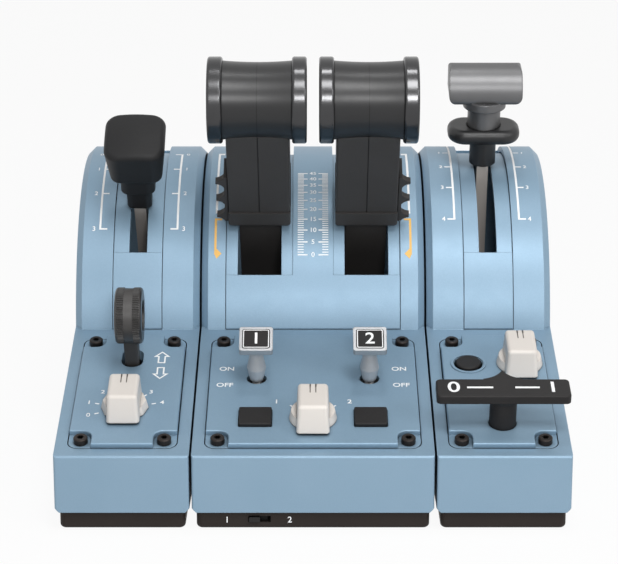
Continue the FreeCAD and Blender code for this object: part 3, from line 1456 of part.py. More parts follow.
def socket_screw(label, x, across, up):
    """A cap screw with a hexagon socket, in a console panel's corner."""
    body = new_body(label, x=f"{x} + {across}",
                    y=f"{FRONT_Y} + {up}*cos(console_slope)",
                    z=f"{EDGE_Z} + {up}*sin(console_slope)", lean="console_slope")
    disc(body, "screw_radius", "-screw_length", "0")
    disc(body, "screw_head_radius", "0", "screw_head_height")
    dress(body, "Chamfer", at_height(number("screw_head_height")), "screw_head_edge")
    socket = sketch_on(body, "XY", height="screw_head_height")
    outline(socket, [(f"screw_socket*cos({turn}*60)", f"screw_socket*sin({turn}*60)") for turn in range(6)])
    pocket(body, socket, "screw_socket_depth")
    return body


def base_screw(label, x, across, along):
    body = new_body(label, x=f"{x} + {across}", y=f"{FRONT_Y} + {along}", z="foot_height")
    disc(body, "base_head_radius", "0", "base_head_height")
    disc(body, "base_screw_radius", "base_head_height", "base_screw_length")
    return body


def rubber_foot(label, x, across, along):
    body = new_body(label, x=f"{x} + {across}", y=f"{FRONT_Y} + {along}")
    disc(body, "foot_radius", "0", "foot_height + foot_recess")
    return body


def circuit_board(label, x, half_width):
    """A board on four feet on the tray's floor, with its main chip."""
    body = new_body(label, x=x, y=f"{FRONT_Y} + board_middle", z=FLOOR_Z)
    block(body, half_width, "board_length/2", "board_rise", "board_rise + board_thick", "2")
    feet = sketch_on(body, "XY")
    for across in ("-", ""):
        for along in ("-", ""):
            circle(feet, f"{across}({half_width} - 2*board_foot)", f"{along}(board_length/2 - 2*board_foot)",
                   "board_foot")
    pad(body, feet, "board_rise")
    block(body, "board_chip", "board_chip", "board_rise + board_thick", "board_rise + 2*board_thick", "0.5")
    return body


RIM_TOP = f"({SPLIT_Z} + rim_height)"
USB_Z = f"({RIM_TOP} + usb_height)"


def usb_socket(label):
    """The data inlet in the rear wall: a block inside with a hollow mouth through the wall."""
    body = new_body(label, y=f"{FRONT_Y} + {DEPTH} - shell_wall", z=USB_Z)
    case = sketch_on(body, "XZ")
    rectangle(case, "-usb_width", "usb_width", f"-({USB_Z} - {RIM_TOP})", "usb_height")
    pad(body, case, "usb_depth")
    mouth = sketch_on(body, "XZ")
    outline(mouth, rounded("-usb_width/2", "usb_width/2", "-usb_height/2", "usb_height/2",
                           "(usb_height/2 - 0.1)"))
    pad(body, mouth, "shell_wall - usb_sunk", away=True)
    hollow = sketch_on(body, "XZ", height="-(shell_wall - usb_sunk)")
    outline(hollow, rounded("-usb_width/2 + usb_wall", "usb_width/2 - usb_wall",
                            "-usb_height/2 + usb_wall", "usb_height/2 - usb_wall",
                            "(usb_height/2 - usb_wall - 0.1)"))
    pocket(body, hollow, "2*shell_wall", away=True)
    return body


def link_plate(label, side):
    """A steel strap under two neighbouring trays, with pins that enter their floors."""
    middle = "(main_width/2 + module_gap/2)"
    body = new_body(label, x=f"{side}{middle}", y=f"{FRONT_Y} + {DEPTH}/2", z="foot_height")
    block(body, "link_half", "link_half", "-link_thick", "0", "3")
    pins = sketch_on(body, "XY")
    for across, along in pin_places():
        circle(pins, across, along, "link_pin")
    pad(body, pins, "link_pin_length")
    return body


def pin_places():
    inset = "(link_half - 2.5*link_pin)"
    return [(f"{across}{inset}", f"{along}{inset}") for across in ("-", "") for along in ("-", "")]


CONNECTOR_Z = f"({RIM_TOP} + 2*connector_height)"


def link_connector(label, side):
    """The contact block that bridges the walls of two modules, with a flange on the main one's inside."""
    wall = "(main_width/2 - shell_wall - drum_chamfer/2)"
    body = new_body(label, x=f"{side}{wall}", y=f"{FRONT_Y} + {DEPTH}/2", z=CONNECTOR_Z)
    reach = "(2*(shell_wall + drum_chamfer/2) + module_gap + connector_proud)"
    bar = sketch_on(body, "YZ")
    outline(bar, rounded("-connector_half", "connector_half", "-connector_height/2",
                         "connector_height/2", "small_round"))
    pad(body, bar, reach, away=side == "-")
    flange = sketch_on(body, "YZ")
    outline(flange, rounded("-connector_half - cup_wall", "connector_half + cup_wall",
                            "-connector_height/2 - cup_wall", "connector_height/2 + cup_wall",
                            "small_round"))
    pad(body, flange, "cup_wall", away=side == "")
    return body


def wall_window(body, side, width):
    """Cut the connector's opening through one side wall of a housing."""
    window = sketch_on(body, "YZ", height=f"{side}{width}/2", x=f"{DEPTH}/2", y=CONNECTOR_Z)
    outline(window, rounded("-connector_half - seam", "connector_half + seam",
                            "-connector_height/2 - seam", "connector_height/2 + seam", "small_round"))
    pocket(body, window, "2*(shell_wall + drum_chamfer)", symmetric=True)


def usb_window(body):
    window = sketch_on(body, "XZ", height=f"-{DEPTH}", y=USB_Z)
    outline(window, rounded("-usb_width/2 - seam", "usb_width/2 + seam", "-usb_height/2 - seam",
                            "usb_height/2 + seam", "(usb_height/2)"))
    pocket(body, window, "2*shell_wall + 1", symmetric=True)


def selector_window(body):
    """Cut the slide switch's window through the front wall of the main tray."""
    reach = "(selector_width/2 + selector_travel/2 + panel_gap)"
    window = sketch_on(body, "XZ", height="-tray_inset", x="selector_x", y=SELECTOR_Z)
    rectangle(window, f"-{reach}", reach, "-selector_height/2 - panel_gap", "selector_height/2 + panel_gap")
    pocket(body, window, "2*tray_wall + 1", symmetric=True)


def pin_holes(body, *sides):
    """Blind holes in a tray's floor for the pins of the link straps on its sides."""
    for shift in sides:
        holes = sketch_on(body, "XY", height="foot_height", x=shift, y=f"{DEPTH}/2")
        for across, along in pin_places():
            circle(holes, across, along, "link_pin + seat_gap")
        pocket(body, holes, "link_pin_length + seat_gap", away=True)

# All pieces ---------------------------------------------------------------------------------------

def slot_corners(x, up, half_width, half_length):
    return rounded(f"({x} - {half_width})", f"({x} + {half_width})", f"({up} - {half_length})",
                   f"({up} + {half_length})", f"({half_width} - 0.1)")


def shells():
    modules = [("main", "0", "main_width"), ("left", f"-{SIDE_X}", "side_width"),
               ("right", SIDE_X, "side_width")]
    made = {}
    for name, x, width in modules:
        main = name == "main"
        insert_width = "main_insert_width" if main else "side_insert_width"
        span = ("main_slot_start", "main_slot_end") if main else ("side_slot_start", "side_slot_end")
        shell = housing(f"{name}_housing", x, width, insert_width, main)
        base = tray(f"{name}_tray", x, width)
        plate = panel(f"{name}_panel", x, width)
        drum_insert(f"{name}_drum_insert", x, insert_width, *span, main)
        made[name] = shell, base, plate
    half_step = {"main": "(main_width/2 + module_gap/2)", "side": "(side_width/2 + module_gap/2)"}
    for side in ("-", ""):
        wall_window(made["main"][0], side, "main_width")
    wall_window(made["left"][0], "", "side_width")
    wall_window(made["right"][0], "-", "side_width")
    usb_window(made["main"][0])
    selector_window(made["main"][1])
    pin_holes(made["main"][1], f"-{half_step['main']}", half_step["main"])
    pin_holes(made["left"][1], half_step["side"])
    pin_holes(made["right"][1], f"-{half_step['side']}")
    shaft = "(knob_shaft_radius + panel_gap)"
    buttons = [rounded(f"({x} - cap_half_x - panel_gap)", f"({x} + cap_half_x + panel_gap)",
                       "(start_up - cap_half_y - panel_gap)", "(start_up + cap_half_y + panel_gap)",
                       "cap_corner") for x in ("-start_x", "start_x")]
    panel_holes(made["main"][2], ("0", "mode_up", shaft), *buttons,
                *[(x, "toggle_up", "toggle_hole") for x in ("-toggle_x", "toggle_x")])
    panel_holes(made["left"][2], ("brake_knob_offset", "brake_knob_up", shaft),
                slot_corners("gear_offset", "gear_up", "gear_slot_width/2", "gear_slot_half"))
    right = made["right"][2]
    lip = console_sketch(right, "panel_rise")
    round_place = ("round_offset", "round_up")
    opening = "(round_cap_radius + round_cap_clear)"
    circle(lip, *round_place, f"{opening} + round_lip_gap + round_lip_width")
    circle(lip, *round_place, f"{opening} + round_lip_gap")
    pad(right, lip, "round_lip_height")
    panel_holes(right, ("trim_knob_offset", "trim_knob_up", shaft), (*round_place, opening),
                ("park_offset", "park_up", "park_radius + park_clear"))
    return modules


def fasteners(modules):
    screws, feet, under = [], [], []
    for name, x, width in modules:
        for index, place in enumerate(screw_places(width)):
            screws.append(socket_screw(f"{name}_screw_{index}", x, *place))
        for index, place in enumerate(foot_places(width)):
            feet.append(rubber_foot(f"{name}_foot_{index}", x, *place))
        for index, place in enumerate(underside_places(width)):
            under.append(base_screw(f"{name}_base_screw_{index}", x, *place))
    group("panel_screws", screws)
    group("rubber_feet", feet)
    group("underside_screws", under)


def thrust_levers():
    for name, x, side in (("left", f"-{THRUST_X}", "-1"), ("right", THRUST_X, "1")):
        thrust_arm(f"thrust_arm_{name}", x, side)
        thrust_head(f"thrust_head_{name}", x, side)
        thrust_rings(f"thrust_rings_{name}", x)
        disconnect_button(f"disconnect_button_{name}", x, side)
        reverser_latch(f"reverser_latch_{name}", x, side)
    bracket("thrust_bracket", "0", "thrust_bracket_width", [f"-{THRUST_X}", THRUST_X], "blade_width")
    axle("thrust_axle", "0", f"({THRUST_X} + blade_width/2 + cheek_gap + cheek_wall + axle_end)")


def side_levers():
    lever_bar("speedbrake_bar", f"-{SIDE_X}", "speedbrake_lean", "speedbrake_bottom + 3 - seat_gap")
    speedbrake_knob("speedbrake_knob")
    lever_bar("flaps_bar", SIDE_X, "flaps_lean", "flaps_bottom - seat_gap")
    flaps_knob("flaps_knob")
    flaps_collar("flaps_collar")
    half = "(side_hub_width/2 + cheek_gap + cheek_wall + axle_end)"
    brackets, axles = [], []
    for name, x in (("left", f"-{SIDE_X}"), ("right", SIDE_X)):
        brackets.append(bracket(f"{name}_bracket", x, "side_bracket_width", ["0"], "side_hub_width"))
        axles.append(axle(f"{name}_axle", x, half))
    group("side_brackets", brackets)
    group("side_axles", [*axles, gear_pin("gear_pin")])
    sensors = []
    main_reach = f"({THRUST_X} + blade_width/2 + cheek_gap + cheek_wall)"
    side_reach = f"({SIDE_X} + side_hub_width/2 + cheek_gap + cheek_wall)"
    for reach in (main_reach, side_reach):
        for side in ("-", ""):
            sensors.append(lever_sensor(f"sensor_{len(sensors)}", f"{side}{reach}", side))
    group("lever_sensors", sensors)


def console_controls():
    knobs = [("mode_knob", "0", "mode_up", 0), ("auto_brake_knob", BRAKE_KNOB_X, "brake_knob_up", 10),
             ("trim_knob", TRIM_KNOB_X, "trim_knob_up", 0)]
    for label, x, up, facets in knobs:
        rotary_knob(label, x, up, facets)
    group("rotary_switches", [rotary_switch(f"{label}_switch", x, up) for label, x, up, _ in knobs])
    cups = []
    for name, x in (("left", "-start_x"), ("right", "start_x")):
        push_button(f"start_button_{name}", x, "start_up", False)
        cups.append(push_switch(f"start_cup_{name}", x, "start_up", "cap_half_x", "cap_half_y"))
    push_button("round_button", ROUND_X, "round_up", True)
    cups.append(push_switch("round_cup", ROUND_X, "round_up", "round_cap_radius", "round_cap_radius"))
    group("push_switches", cups)
    switches = []
    for engine, x in (("1", "-toggle_x"), ("2", "toggle_x")):
        toggle_stem(f"toggle_stem_{engine}", x)
        toggle_cap(f"toggle_cap_{engine}", x)
        switches.append(toggle_switch(f"toggle_switch_{engine}", x))
    group("toggle_switches", switches)
    gear_stem("gear_stem")
    gear_wheel("gear_wheel")
    gear_bracket("gear_bracket")
    park_bar("park_bar")
    park_stem("park_stem")
    park_slider("park_slider")
    park_guide("park_guide")
    selector_slide("selector_slide")


def electronics():
    boards = [circuit_board("main_board", "0", "(main_width/3)"),
              circuit_board("left_board", f"-{SIDE_X}", "(side_width/4)"),
              circuit_board("right_board", SIDE_X, "(side_width/4)")]
    group("circuit_boards", boards)
    usb_socket("usb_socket")
    group("link_plates", [link_plate(f"link_plate_{len(side)}", side) for side in ("-", "")])
    group("link_connectors", [link_connector(f"link_connector_{len(side)}", side) for side in ("-", "")])


fasteners(shells())
thrust_levers()
side_levers()
console_controls()
electronics()
doc.recompute()

for piece in doc.Objects:
    if "Invalid" in piece.State or "Error" in piece.State:
        raise RuntimeError(f"{piece.Label} did not recompute: {piece.State}")
for piece in parts:
    if piece.Shape.isNull() or not piece.Shape.isValid() or not piece.Shape.Solids:
        raise RuntimeError(f"{piece.Label} has no valid shape")

os.makedirs("parts", exist_ok=True)
for piece in parts:
    piece.Shape.exportStep(f"parts/{piece.Label}.step")
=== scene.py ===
"""Looks of the throttle quadrant: finishes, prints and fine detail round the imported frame.

Metres; X to the right, Y away from the user, Z up, as in the frame. Angles on the drum are degrees
above the forward horizontal.
"""

import json
from math import cos, pi, radians, sin

import bmesh
import bpy
from mathutils import Matrix, Vector

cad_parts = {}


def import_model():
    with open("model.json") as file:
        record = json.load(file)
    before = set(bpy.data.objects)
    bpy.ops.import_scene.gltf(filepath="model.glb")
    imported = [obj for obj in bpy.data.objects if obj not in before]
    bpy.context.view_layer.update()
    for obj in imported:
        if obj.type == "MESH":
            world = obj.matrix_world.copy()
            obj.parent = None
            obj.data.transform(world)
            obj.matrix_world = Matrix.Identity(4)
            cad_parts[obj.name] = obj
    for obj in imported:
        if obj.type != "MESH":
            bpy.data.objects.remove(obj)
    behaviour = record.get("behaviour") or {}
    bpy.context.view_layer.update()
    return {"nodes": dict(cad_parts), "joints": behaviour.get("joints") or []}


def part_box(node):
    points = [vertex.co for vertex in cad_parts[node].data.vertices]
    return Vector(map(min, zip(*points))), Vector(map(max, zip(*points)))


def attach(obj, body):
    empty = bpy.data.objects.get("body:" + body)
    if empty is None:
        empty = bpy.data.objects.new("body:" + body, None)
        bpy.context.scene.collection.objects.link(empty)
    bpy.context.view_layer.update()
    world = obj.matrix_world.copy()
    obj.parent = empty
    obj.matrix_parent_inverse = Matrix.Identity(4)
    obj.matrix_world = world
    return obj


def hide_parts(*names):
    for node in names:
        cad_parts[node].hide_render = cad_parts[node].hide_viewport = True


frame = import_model()

# Places read from the frame -------------------------------------------------------------------

MM = 0.001
JOINTS = {joint["name"]: joint for joint in frame["joints"]}


def pivot(joint):
    """A point on a joint's axis."""
    return Vector(JOINTS[joint]["pos_m"])


PANEL_UP_TO_KNOB = 27.3 * MM
RIGHT = Vector((1, 0, 0))
NORMAL = Vector(JOINTS["mode_knob_turn"]["axis"])
UP_SLOPE = Vector((0, NORMAL.z, -NORMAL.y))
PANEL_START = pivot("mode_knob_turn") - UP_SLOPE * PANEL_UP_TO_KNOB
DRUM_AXIS = pivot("thrust_lever_left")
DRUM_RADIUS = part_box("main_housing")[1].z - DRUM_AXIS.z
DEGREE_LENGTH = DRUM_RADIUS * pi / 180
LEFT_X = sum(corner.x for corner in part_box("left_housing")) / 2
RIGHT_X = sum(corner.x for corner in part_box("right_housing")) / 2
FRONT_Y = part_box("main_housing")[0].y


# Materials ------------------------------------------------------------------------------------

CLOUD_SCALE, CLOUD_DETAIL = 35.0, 4.0
GRAIN_DETAIL = 3.0
ROUGH_SCALE, ROUGH_DETAIL, ROUGH_SPREAD = 180.0, 3.0, 0.015
SPECK_GAIN, SPECK_LIFT = 1.9, 0.02
# Painted highlight on rounded edges: how much paler, and where it starts and ends.
EDGE_HIGHLIGHT_GAIN, EDGE_HIGHLIGHT_LIFT = 1.8, 0.08
EDGE_HIGHLIGHT_FULL, EDGE_HIGHLIGHT_NONE = 0.80, 0.99
SEAM_HALF, SEAM_SHADE = 0.22 * MM, 0.1
CREASE_REACH, CREASE_SHADE = 3.0 * MM, 0.12
CREASE_SHUT, CREASE_OPEN = 0.15, 0.8
COAT_ROUGHNESS = 0.15
BEVEL_SAMPLES, CREASE_SAMPLES = 4, 6


class Nodes:
    """A small shorthand for building one material's node tree."""

    def __init__(self, name):
        self.material = bpy.data.materials.new(name)
        self.material.use_nodes = True
        self.tree = self.material.node_tree
        self.shader = self.tree.nodes["Principled BSDF"]
        self.place = self.add("ShaderNodeTexCoord").outputs["Object"]

    def add(self, kind, **settings):
        node = self.tree.nodes.new(kind)
        for name, setting in settings.items():
            setattr(node, name, setting)
        return node

    def link(self, source, target):
        self.tree.links.new(source, target)

    def noise(self, scale, detail, stretch=None):
        place = self.place
        if stretch:
            mapping = self.add("ShaderNodeMapping")
            mapping.inputs["Scale"].default_value = stretch
            self.link(place, mapping.inputs["Vector"])
            place = mapping.outputs["Vector"]
        node = self.add("ShaderNodeTexNoise")
        node.inputs["Scale"].default_value = scale
        node.inputs["Detail"].default_value = detail
        self.link(place, node.inputs["Vector"])
        return node.outputs["Fac"]

    def spread(self, source, low, high, start=0.3, end=0.7):
        """The source mapped from start..end onto low..high."""
        node = self.add("ShaderNodeMapRange")
        limits = (("From Min", start), ("From Max", end), ("To Min", low), ("To Max", high))
        for name, number in limits:
            node.inputs[name].default_value = number
        self.link(source, node.inputs["Value"])
        return node.outputs["Result"]

    def blend(self, factor, first, second):
        """A mix of two colours, each a tuple or a socket."""
        node = self.add("ShaderNodeMix", data_type="RGBA")
        self.link(factor, node.inputs["Factor"])
        for colour, socket in ((first, node.inputs["A"]), (second, node.inputs["B"])):
            if isinstance(colour, tuple):
                socket.default_value = (*colour, 1)
            else:
                self.link(colour, socket)
        return node.outputs["Result"]

    def seam(self, place):
        """1 on a hair line at this distance from the middle plane on each side, 0 elsewhere."""
        across = self.add("ShaderNodeSeparateXYZ")
        self.link(self.place, across.inputs[0])
        away = self.add("ShaderNodeMath", operation="ABSOLUTE")
        self.link(across.outputs["X"], away.inputs[0])
        line = self.add("ShaderNodeMath", operation="COMPARE")
        line.inputs[1].default_value, line.inputs[2].default_value = place, SEAM_HALF
        self.link(away.outputs["Value"], line.inputs[0])
        return line.outputs["Value"]

    def bump(self, height, strength, depth, normal):
        node = self.add("ShaderNodeBump")
        node.inputs["Strength"].default_value = strength
        node.inputs["Distance"].default_value = depth
        self.link(height, node.inputs["Height"])
        self.link(normal, node.inputs["Normal"])
        return node.outputs["Normal"]


def linear(*channels):
    """An sRGB colour, 0 to 255, as linear numbers."""
    return tuple(c / 255 / 12.92 if c < 11 else ((c / 255 + 0.055) / 1.055) ** 2.4
                 for c in channels)


def paler(colour, gain, lift):
    return tuple(min(1.0, c * gain + lift) for c in colour)


def darker(colour, share):
    return tuple(c * share for c in colour)


def finish(name, colour, shade, roughness, metallic=0.0, grain=2500.0, grain_depth=0.02 * MM,
           grain_strength=0.2, edge=0.35 * MM, edge_light=0.0, stretch=None, clearcoat=0.0,
           specular=0.5, speckle=0.12, seam=0.0):
    """A moulded or painted finish: two close shades in soft clouds, fine grain, rounded edges, and
    creases darkened with painted shade. Edges carry a painted highlight (edge_light), and a dark
    parting line can run at a distance from the middle plane (seam)."""
    nodes = Nodes(name)
    shader = nodes.shader
    clouds = nodes.spread(nodes.noise(CLOUD_SCALE, CLOUD_DETAIL), 0.0, 1.0)
    tint = nodes.blend(clouds, colour, shade)
    grain_height = nodes.noise(grain, GRAIN_DETAIL, stretch)
    specks = nodes.spread(grain_height, 0.0, speckle)
    tint = nodes.blend(specks, tint, paler(colour, SPECK_GAIN, SPECK_LIFT))
    round_normal = nodes.add("ShaderNodeBevel", samples=BEVEL_SAMPLES)
    round_normal.inputs["Radius"].default_value = edge
    # Painted highlight: rounded edges made paler where the bevel normal turns away from the flat
    # one.
    if edge_light:
        flat = nodes.add("ShaderNodeNewGeometry").outputs["Normal"]
        across = nodes.add("ShaderNodeVectorMath", operation="DOT_PRODUCT")
        nodes.link(round_normal.outputs["Normal"], across.inputs[0])
        nodes.link(flat, across.inputs[1])
        painted_edge_highlight = nodes.spread(across.outputs["Value"], edge_light, 0.0, EDGE_HIGHLIGHT_FULL, EDGE_HIGHLIGHT_NONE)
        tint = nodes.blend(painted_edge_highlight, tint, paler(colour, EDGE_HIGHLIGHT_GAIN, EDGE_HIGHLIGHT_LIFT))
    if seam:
        tint = nodes.blend(nodes.seam(seam), tint, darker(colour, SEAM_SHADE))
    # Painted shade: creases and gaps darkened in the colour by an ambient occlusion node.
    painted_crease_shade = nodes.add("ShaderNodeAmbientOcclusion", samples=CREASE_SAMPLES)
    painted_crease_shade.inputs["Distance"].default_value = CREASE_REACH
    open_share = nodes.spread(painted_crease_shade.outputs["AO"], 0.0, 1.0, CREASE_SHUT, CREASE_OPEN)
    tint = nodes.blend(open_share, darker(colour, CREASE_SHADE), tint)
    nodes.link(tint, shader.inputs["Base Color"])
    rough = nodes.spread(nodes.noise(ROUGH_SCALE, ROUGH_DETAIL),
                         roughness - ROUGH_SPREAD, roughness + ROUGH_SPREAD)
    nodes.link(rough, shader.inputs["Roughness"])
    shader.inputs["Metallic"].default_value = metallic
    shader.inputs["Specular IOR Level"].default_value = specular
    shader.inputs["Coat Weight"].default_value = clearcoat
    shader.inputs["Coat Roughness"].default_value = COAT_ROUGHNESS
    normal = nodes.bump(grain_height, grain_strength, grain_depth, round_normal.outputs["Normal"])
    nodes.link(normal, shader.inputs["Normal"])
    return nodes.material


SHELL = finish("shell_paint", linear(131, 157, 177), linear(127, 154, 174), 0.42, metallic=0.25,
               grain_strength=0.3, edge=0.5 * MM, edge_light=0.35, specular=0.35)
PANEL = finish("panel_paint", linear(131, 158, 178), linear(127, 154, 175), 0.45, metallic=0.25,
               grain_strength=0.3, edge=0.4 * MM, edge_light=0.4, specular=0.35)
TRAY = finish("tray_plastic", linear(44, 38, 35), linear(40, 34, 32), 0.5,
              edge=0.6 * MM, specular=0.15)
LEVER = finish("lever_plastic", linear(64, 62, 61), linear(59, 57, 56), 0.5,
               edge=0.5 * MM, specular=0.2)
HEAD = finish("head_plastic", linear(34, 34, 35), linear(31, 31, 32), 0.34,
              edge=0.6 * MM, specular=0.4, seam=26.4 * MM)
CUSHION = finish("cushion_plastic", linear(32, 32, 33), linear(29, 29, 30), 0.5,
                 edge=0.6 * MM, specular=0.2)
RING = finish("ring_metal", linear(78, 78, 79), linear(71, 71, 72), 0.22, metallic=1.0,
              grain_strength=0.03, edge=0.6 * MM, speckle=0.03)
GLOSSY = finish("glossy_plastic", linear(104, 104, 105), linear(99, 99, 100), 0.38, metallic=0.6,
                grain_strength=0.05, edge=1.0 * MM, speckle=0.04)
COLLAR = finish("collar_plastic", linear(36, 36, 37), linear(33, 33, 34), 0.36,
                grain_strength=0.05, edge=1.0 * MM, speckle=0.04, specular=0.4)
CAP = finish("cap_plastic", linear(36, 34, 34), linear(32, 31, 31), 0.5,
             edge=0.4 * MM, specular=0.2)
WHEEL = finish("wheel_plastic", linear(40, 38, 37), linear(36, 34, 33), 0.34, edge=0.1 * MM)
BAND = finish("band_plastic", linear(58, 56, 55), linear(54, 52, 51), 0.4, edge=0.3 * MM)
IVORY = finish("ivory_plastic", linear(226, 220, 213), linear(222, 215, 208), 0.36,
               grain_strength=0.08, edge=0.8 * MM, specular=0.35, speckle=0.05)
BRIGHT = finish("toggle_metal", linear(168, 169, 171), linear(158, 160, 162), 0.36, metallic=0.6,
                grain_strength=0.04, edge=0.4 * MM, speckle=0.05)
STEM = finish("stem_satin", linear(176, 178, 180), linear(168, 170, 173), 0.34, metallic=0.25,
              grain_strength=0.02, edge=0.2 * MM, clearcoat=0.3, speckle=0.04)
STEEL = finish("bar_steel", linear(226, 219, 212), linear(214, 206, 199), 0.4, metallic=0.5,
               grain=700.0, stretch=(8.0, 8.0, 1.0), grain_strength=0.15, speckle=0.1)
ZINC = finish("zinc_steel", linear(168, 170, 172), linear(150, 152, 155), 0.4, metallic=0.9)
SCREW = finish("black_screw", linear(52, 47, 45), linear(44, 40, 38), 0.38, metallic=0.5,
               edge=0.3 * MM, specular=0.2)
RUBBER = finish("foot_rubber", linear(34, 34, 34), linear(29, 29, 29), 0.8, specular=0.15)
BOARD = finish("board_mask", linear(24, 92, 52), linear(20, 80, 45), 0.35)
SWITCH = finish("switch_plastic", linear(38, 38, 40), linear(33, 33, 35), 0.55, specular=0.2)
PRINT = finish("white_print", linear(252, 253, 253), linear(247, 249, 250), 0.5,
               grain_strength=0.05, edge=0.02 * MM, speckle=0.02)
YELLOW = finish("yellow_print", linear(244, 192, 102), linear(238, 186, 94), 0.5,
                grain_strength=0.05, edge=0.02 * MM, speckle=0.02)
GROOVE = finish("groove_shadow", linear(86, 78, 72), linear(76, 69, 64), 0.6, edge=0.02 * MM)

FINISHES = [
    (SHELL, "main_housing left_housing right_housing"
            " main_drum_insert left_drum_insert right_drum_insert"),
    (PANEL, "main_panel left_panel right_panel"),
    (TRAY, "main_tray left_tray right_tray"),
    (LEVER, "thrust_arm_left thrust_arm_right reverser_latch_left reverser_latch_right"
            " gear_stem"),
    (HEAD, "thrust_head_left thrust_head_right disconnect_button_left disconnect_button_right"),
    (CUSHION, "speedbrake_knob"),
    (GLOSSY, "flaps_knob"),
    (COLLAR, "flaps_collar"),
    (RING, "thrust_rings_left thrust_rings_right"),
    (CAP, "start_button_left start_button_right round_button selector_slide gear_wheel park_bar"
          " park_stem"),
    (IVORY, "mode_knob auto_brake_knob trim_knob"),
    (BRIGHT, "toggle_cap_1 toggle_cap_2"),
    (STEM, "toggle_stem_1 toggle_stem_2"),
    (STEEL, "speedbrake_bar flaps_bar"),
    (ZINC, "underside_screws thrust_bracket thrust_axle side_brackets side_axles gear_bracket"
           " usb_socket link_plates"),
    (SCREW, "panel_screws"),
    (RUBBER, "rubber_feet"),
    (BOARD, "circuit_boards"),
    (SWITCH, "rotary_switches push_switches toggle_switches lever_sensors link_connectors"
             " park_slider park_guide"),
]
for material, names in FINISHES:
    for node in names.split():
        mesh = frame["nodes"][node].data
        mesh.materials.clear()
        mesh.materials.append(material)


# Printed shapes -------------------------------------------------------------------------------

PRINT_THICK = 0.06 * MM
PRINT_SUNK = 0.10 * MM
GLYPH_WEIGHT = 0.012
ARC_STEP = 2.0


class Sheet:
    """A mesh that gathers thin printed shapes before it becomes one piece."""

    def __init__(self, name, material, body, slot):
        self.name, self.material, self.body, self.slot = name, material, body, slot
        self.mesh = bmesh.new()

    def slab(self, rows):
        """A closed thin slab over rows of (left, right, out) points, sunk a little below them."""
        rings = []
        for left, right, out in rows:
            top, low = out * PRINT_THICK, out * -PRINT_SUNK
            corners = (left + top, right + top, right + low, left + low)
            rings.append([self.mesh.verts.new(corner) for corner in corners])
        for first, second in zip(rings, rings[1:]):
            for side in range(4):
                after = (side + 1) % 4
                self.mesh.faces.new((first[side], first[after], second[after], second[side]))
        self.mesh.faces.new(reversed(rings[0]))
        self.mesh.faces.new(rings[-1])

    def bar(self, middle, left, right, low, high):
        """A slab in the console's slope, between two distances across and two up from a point."""
        self.slab([(middle + RIGHT * left + UP_SLOPE * up, middle + RIGHT * right + UP_SLOPE * up,
                    NORMAL) for up in (low, high)])

    def prism(self, points, out):
        """A closed thin plate with the outline of some points, sunk a little below them."""
        top = [self.mesh.verts.new(point + out * PRINT_THICK) for point in points]
        low = [self.mesh.verts.new(point - out * PRINT_SUNK) for point in points]
        self.mesh.faces.new(top)
        self.mesh.faces.new(reversed(low))
        for side in range(len(points)):
            after = (side + 1) % len(points)
            self.mesh.faces.new((low[side], low[after], top[after], top[side]))

    def border(self, outer, inner, out, flip=False):
        """A line between two closed loops, one plate per side."""
        for start in range(len(outer)):
            end = (start + 1) % len(outer)
            corners = [outer[start], outer[end], inner[end], inner[start]]
            self.prism(corners[::-1] if flip else corners, out)

    def glyphs(self, text, size, middle, right, up):
        """Characters centred on a point, lying in the plane of two directions."""
        curve = bpy.data.curves.new("glyphs", "FONT")
        curve.body, curve.size = text, size
        curve.align_x, curve.align_y = "CENTER", "CENTER"
        curve.extrude = (PRINT_THICK + PRINT_SUNK) / 2
        curve.offset = size * GLYPH_WEIGHT
        helper = bpy.data.objects.new("glyphs", curve)
        bpy.context.scene.collection.objects.link(helper)
        bpy.context.view_layer.update()
        flat = bpy.data.meshes.new_from_object(helper)
        out = right.cross(up)
        spot = middle + out * (PRINT_THICK - PRINT_SUNK) / 2
        turn = Matrix((right, up, out)).transposed().to_4x4()
        flat.transform(Matrix.Translation(spot) @ turn)
        self.mesh.from_mesh(flat)
        bpy.data.objects.remove(helper)
        bpy.data.curves.remove(curve)
        bpy.data.meshes.remove(flat)

    def done(self):
        bmesh.ops.recalc_face_normals(self.mesh, faces=self.mesh.faces)
        piece_from(self.mesh, self.name, self.material, self.body)


def piece_from(mesh, name, material, body):
    data = bpy.data.meshes.new(name)
    mesh.to_mesh(data)
    mesh.free()
    data.materials.append(material)
    piece = bpy.data.objects.new(name, data)
    bpy.context.scene.collection.objects.link(piece)
    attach(piece, body)
    return piece


# Prints on the drums --------------------------------------------------------------------------

SCALE_TICKS, SCALE_MAJOR = 46, 5
SCALE_START, SCALE_STEP, SCALE_CLOSING = 33.0, 0.94, 0.0035
YELLOW_LOW, YELLOW_HIGH = 33.0, 46.6
WHITE_LOW, WHITE_HIGH = 48.6, 84.0
POINTER_FOOT, POINTER_MIDDLE, POINTER_HEAD = 31.6, 33.4, 35.2
# Name, middle, distance of the lines, way of the ticks, distance of the numbers, stops
SIDE_SCALES = [
    ("speedbrake_scale_print", LEFT_X, 19.2 * MM, -1, 22.3 * MM,
     [("3", 42.5), ("2", 57.5), ("1", 71.0), ("0", 83.0)]),
    ("flaps_scale_print", RIGHT_X, 16.1 * MM, 1, 21.4 * MM,
     [("4", 46.4), ("3", 60.5), ("2", 72.6), ("1", 85.0), ("0", 99.0)]),
]


def drum_out(angle):
    """The drum's outward direction at an angle."""
    return Vector((0, -cos(radians(angle)), sin(radians(angle))))


def drum_point(x, angle):
    return Vector((x, DRUM_AXIS.y, DRUM_AXIS.z)) + drum_out(angle) * DRUM_RADIUS


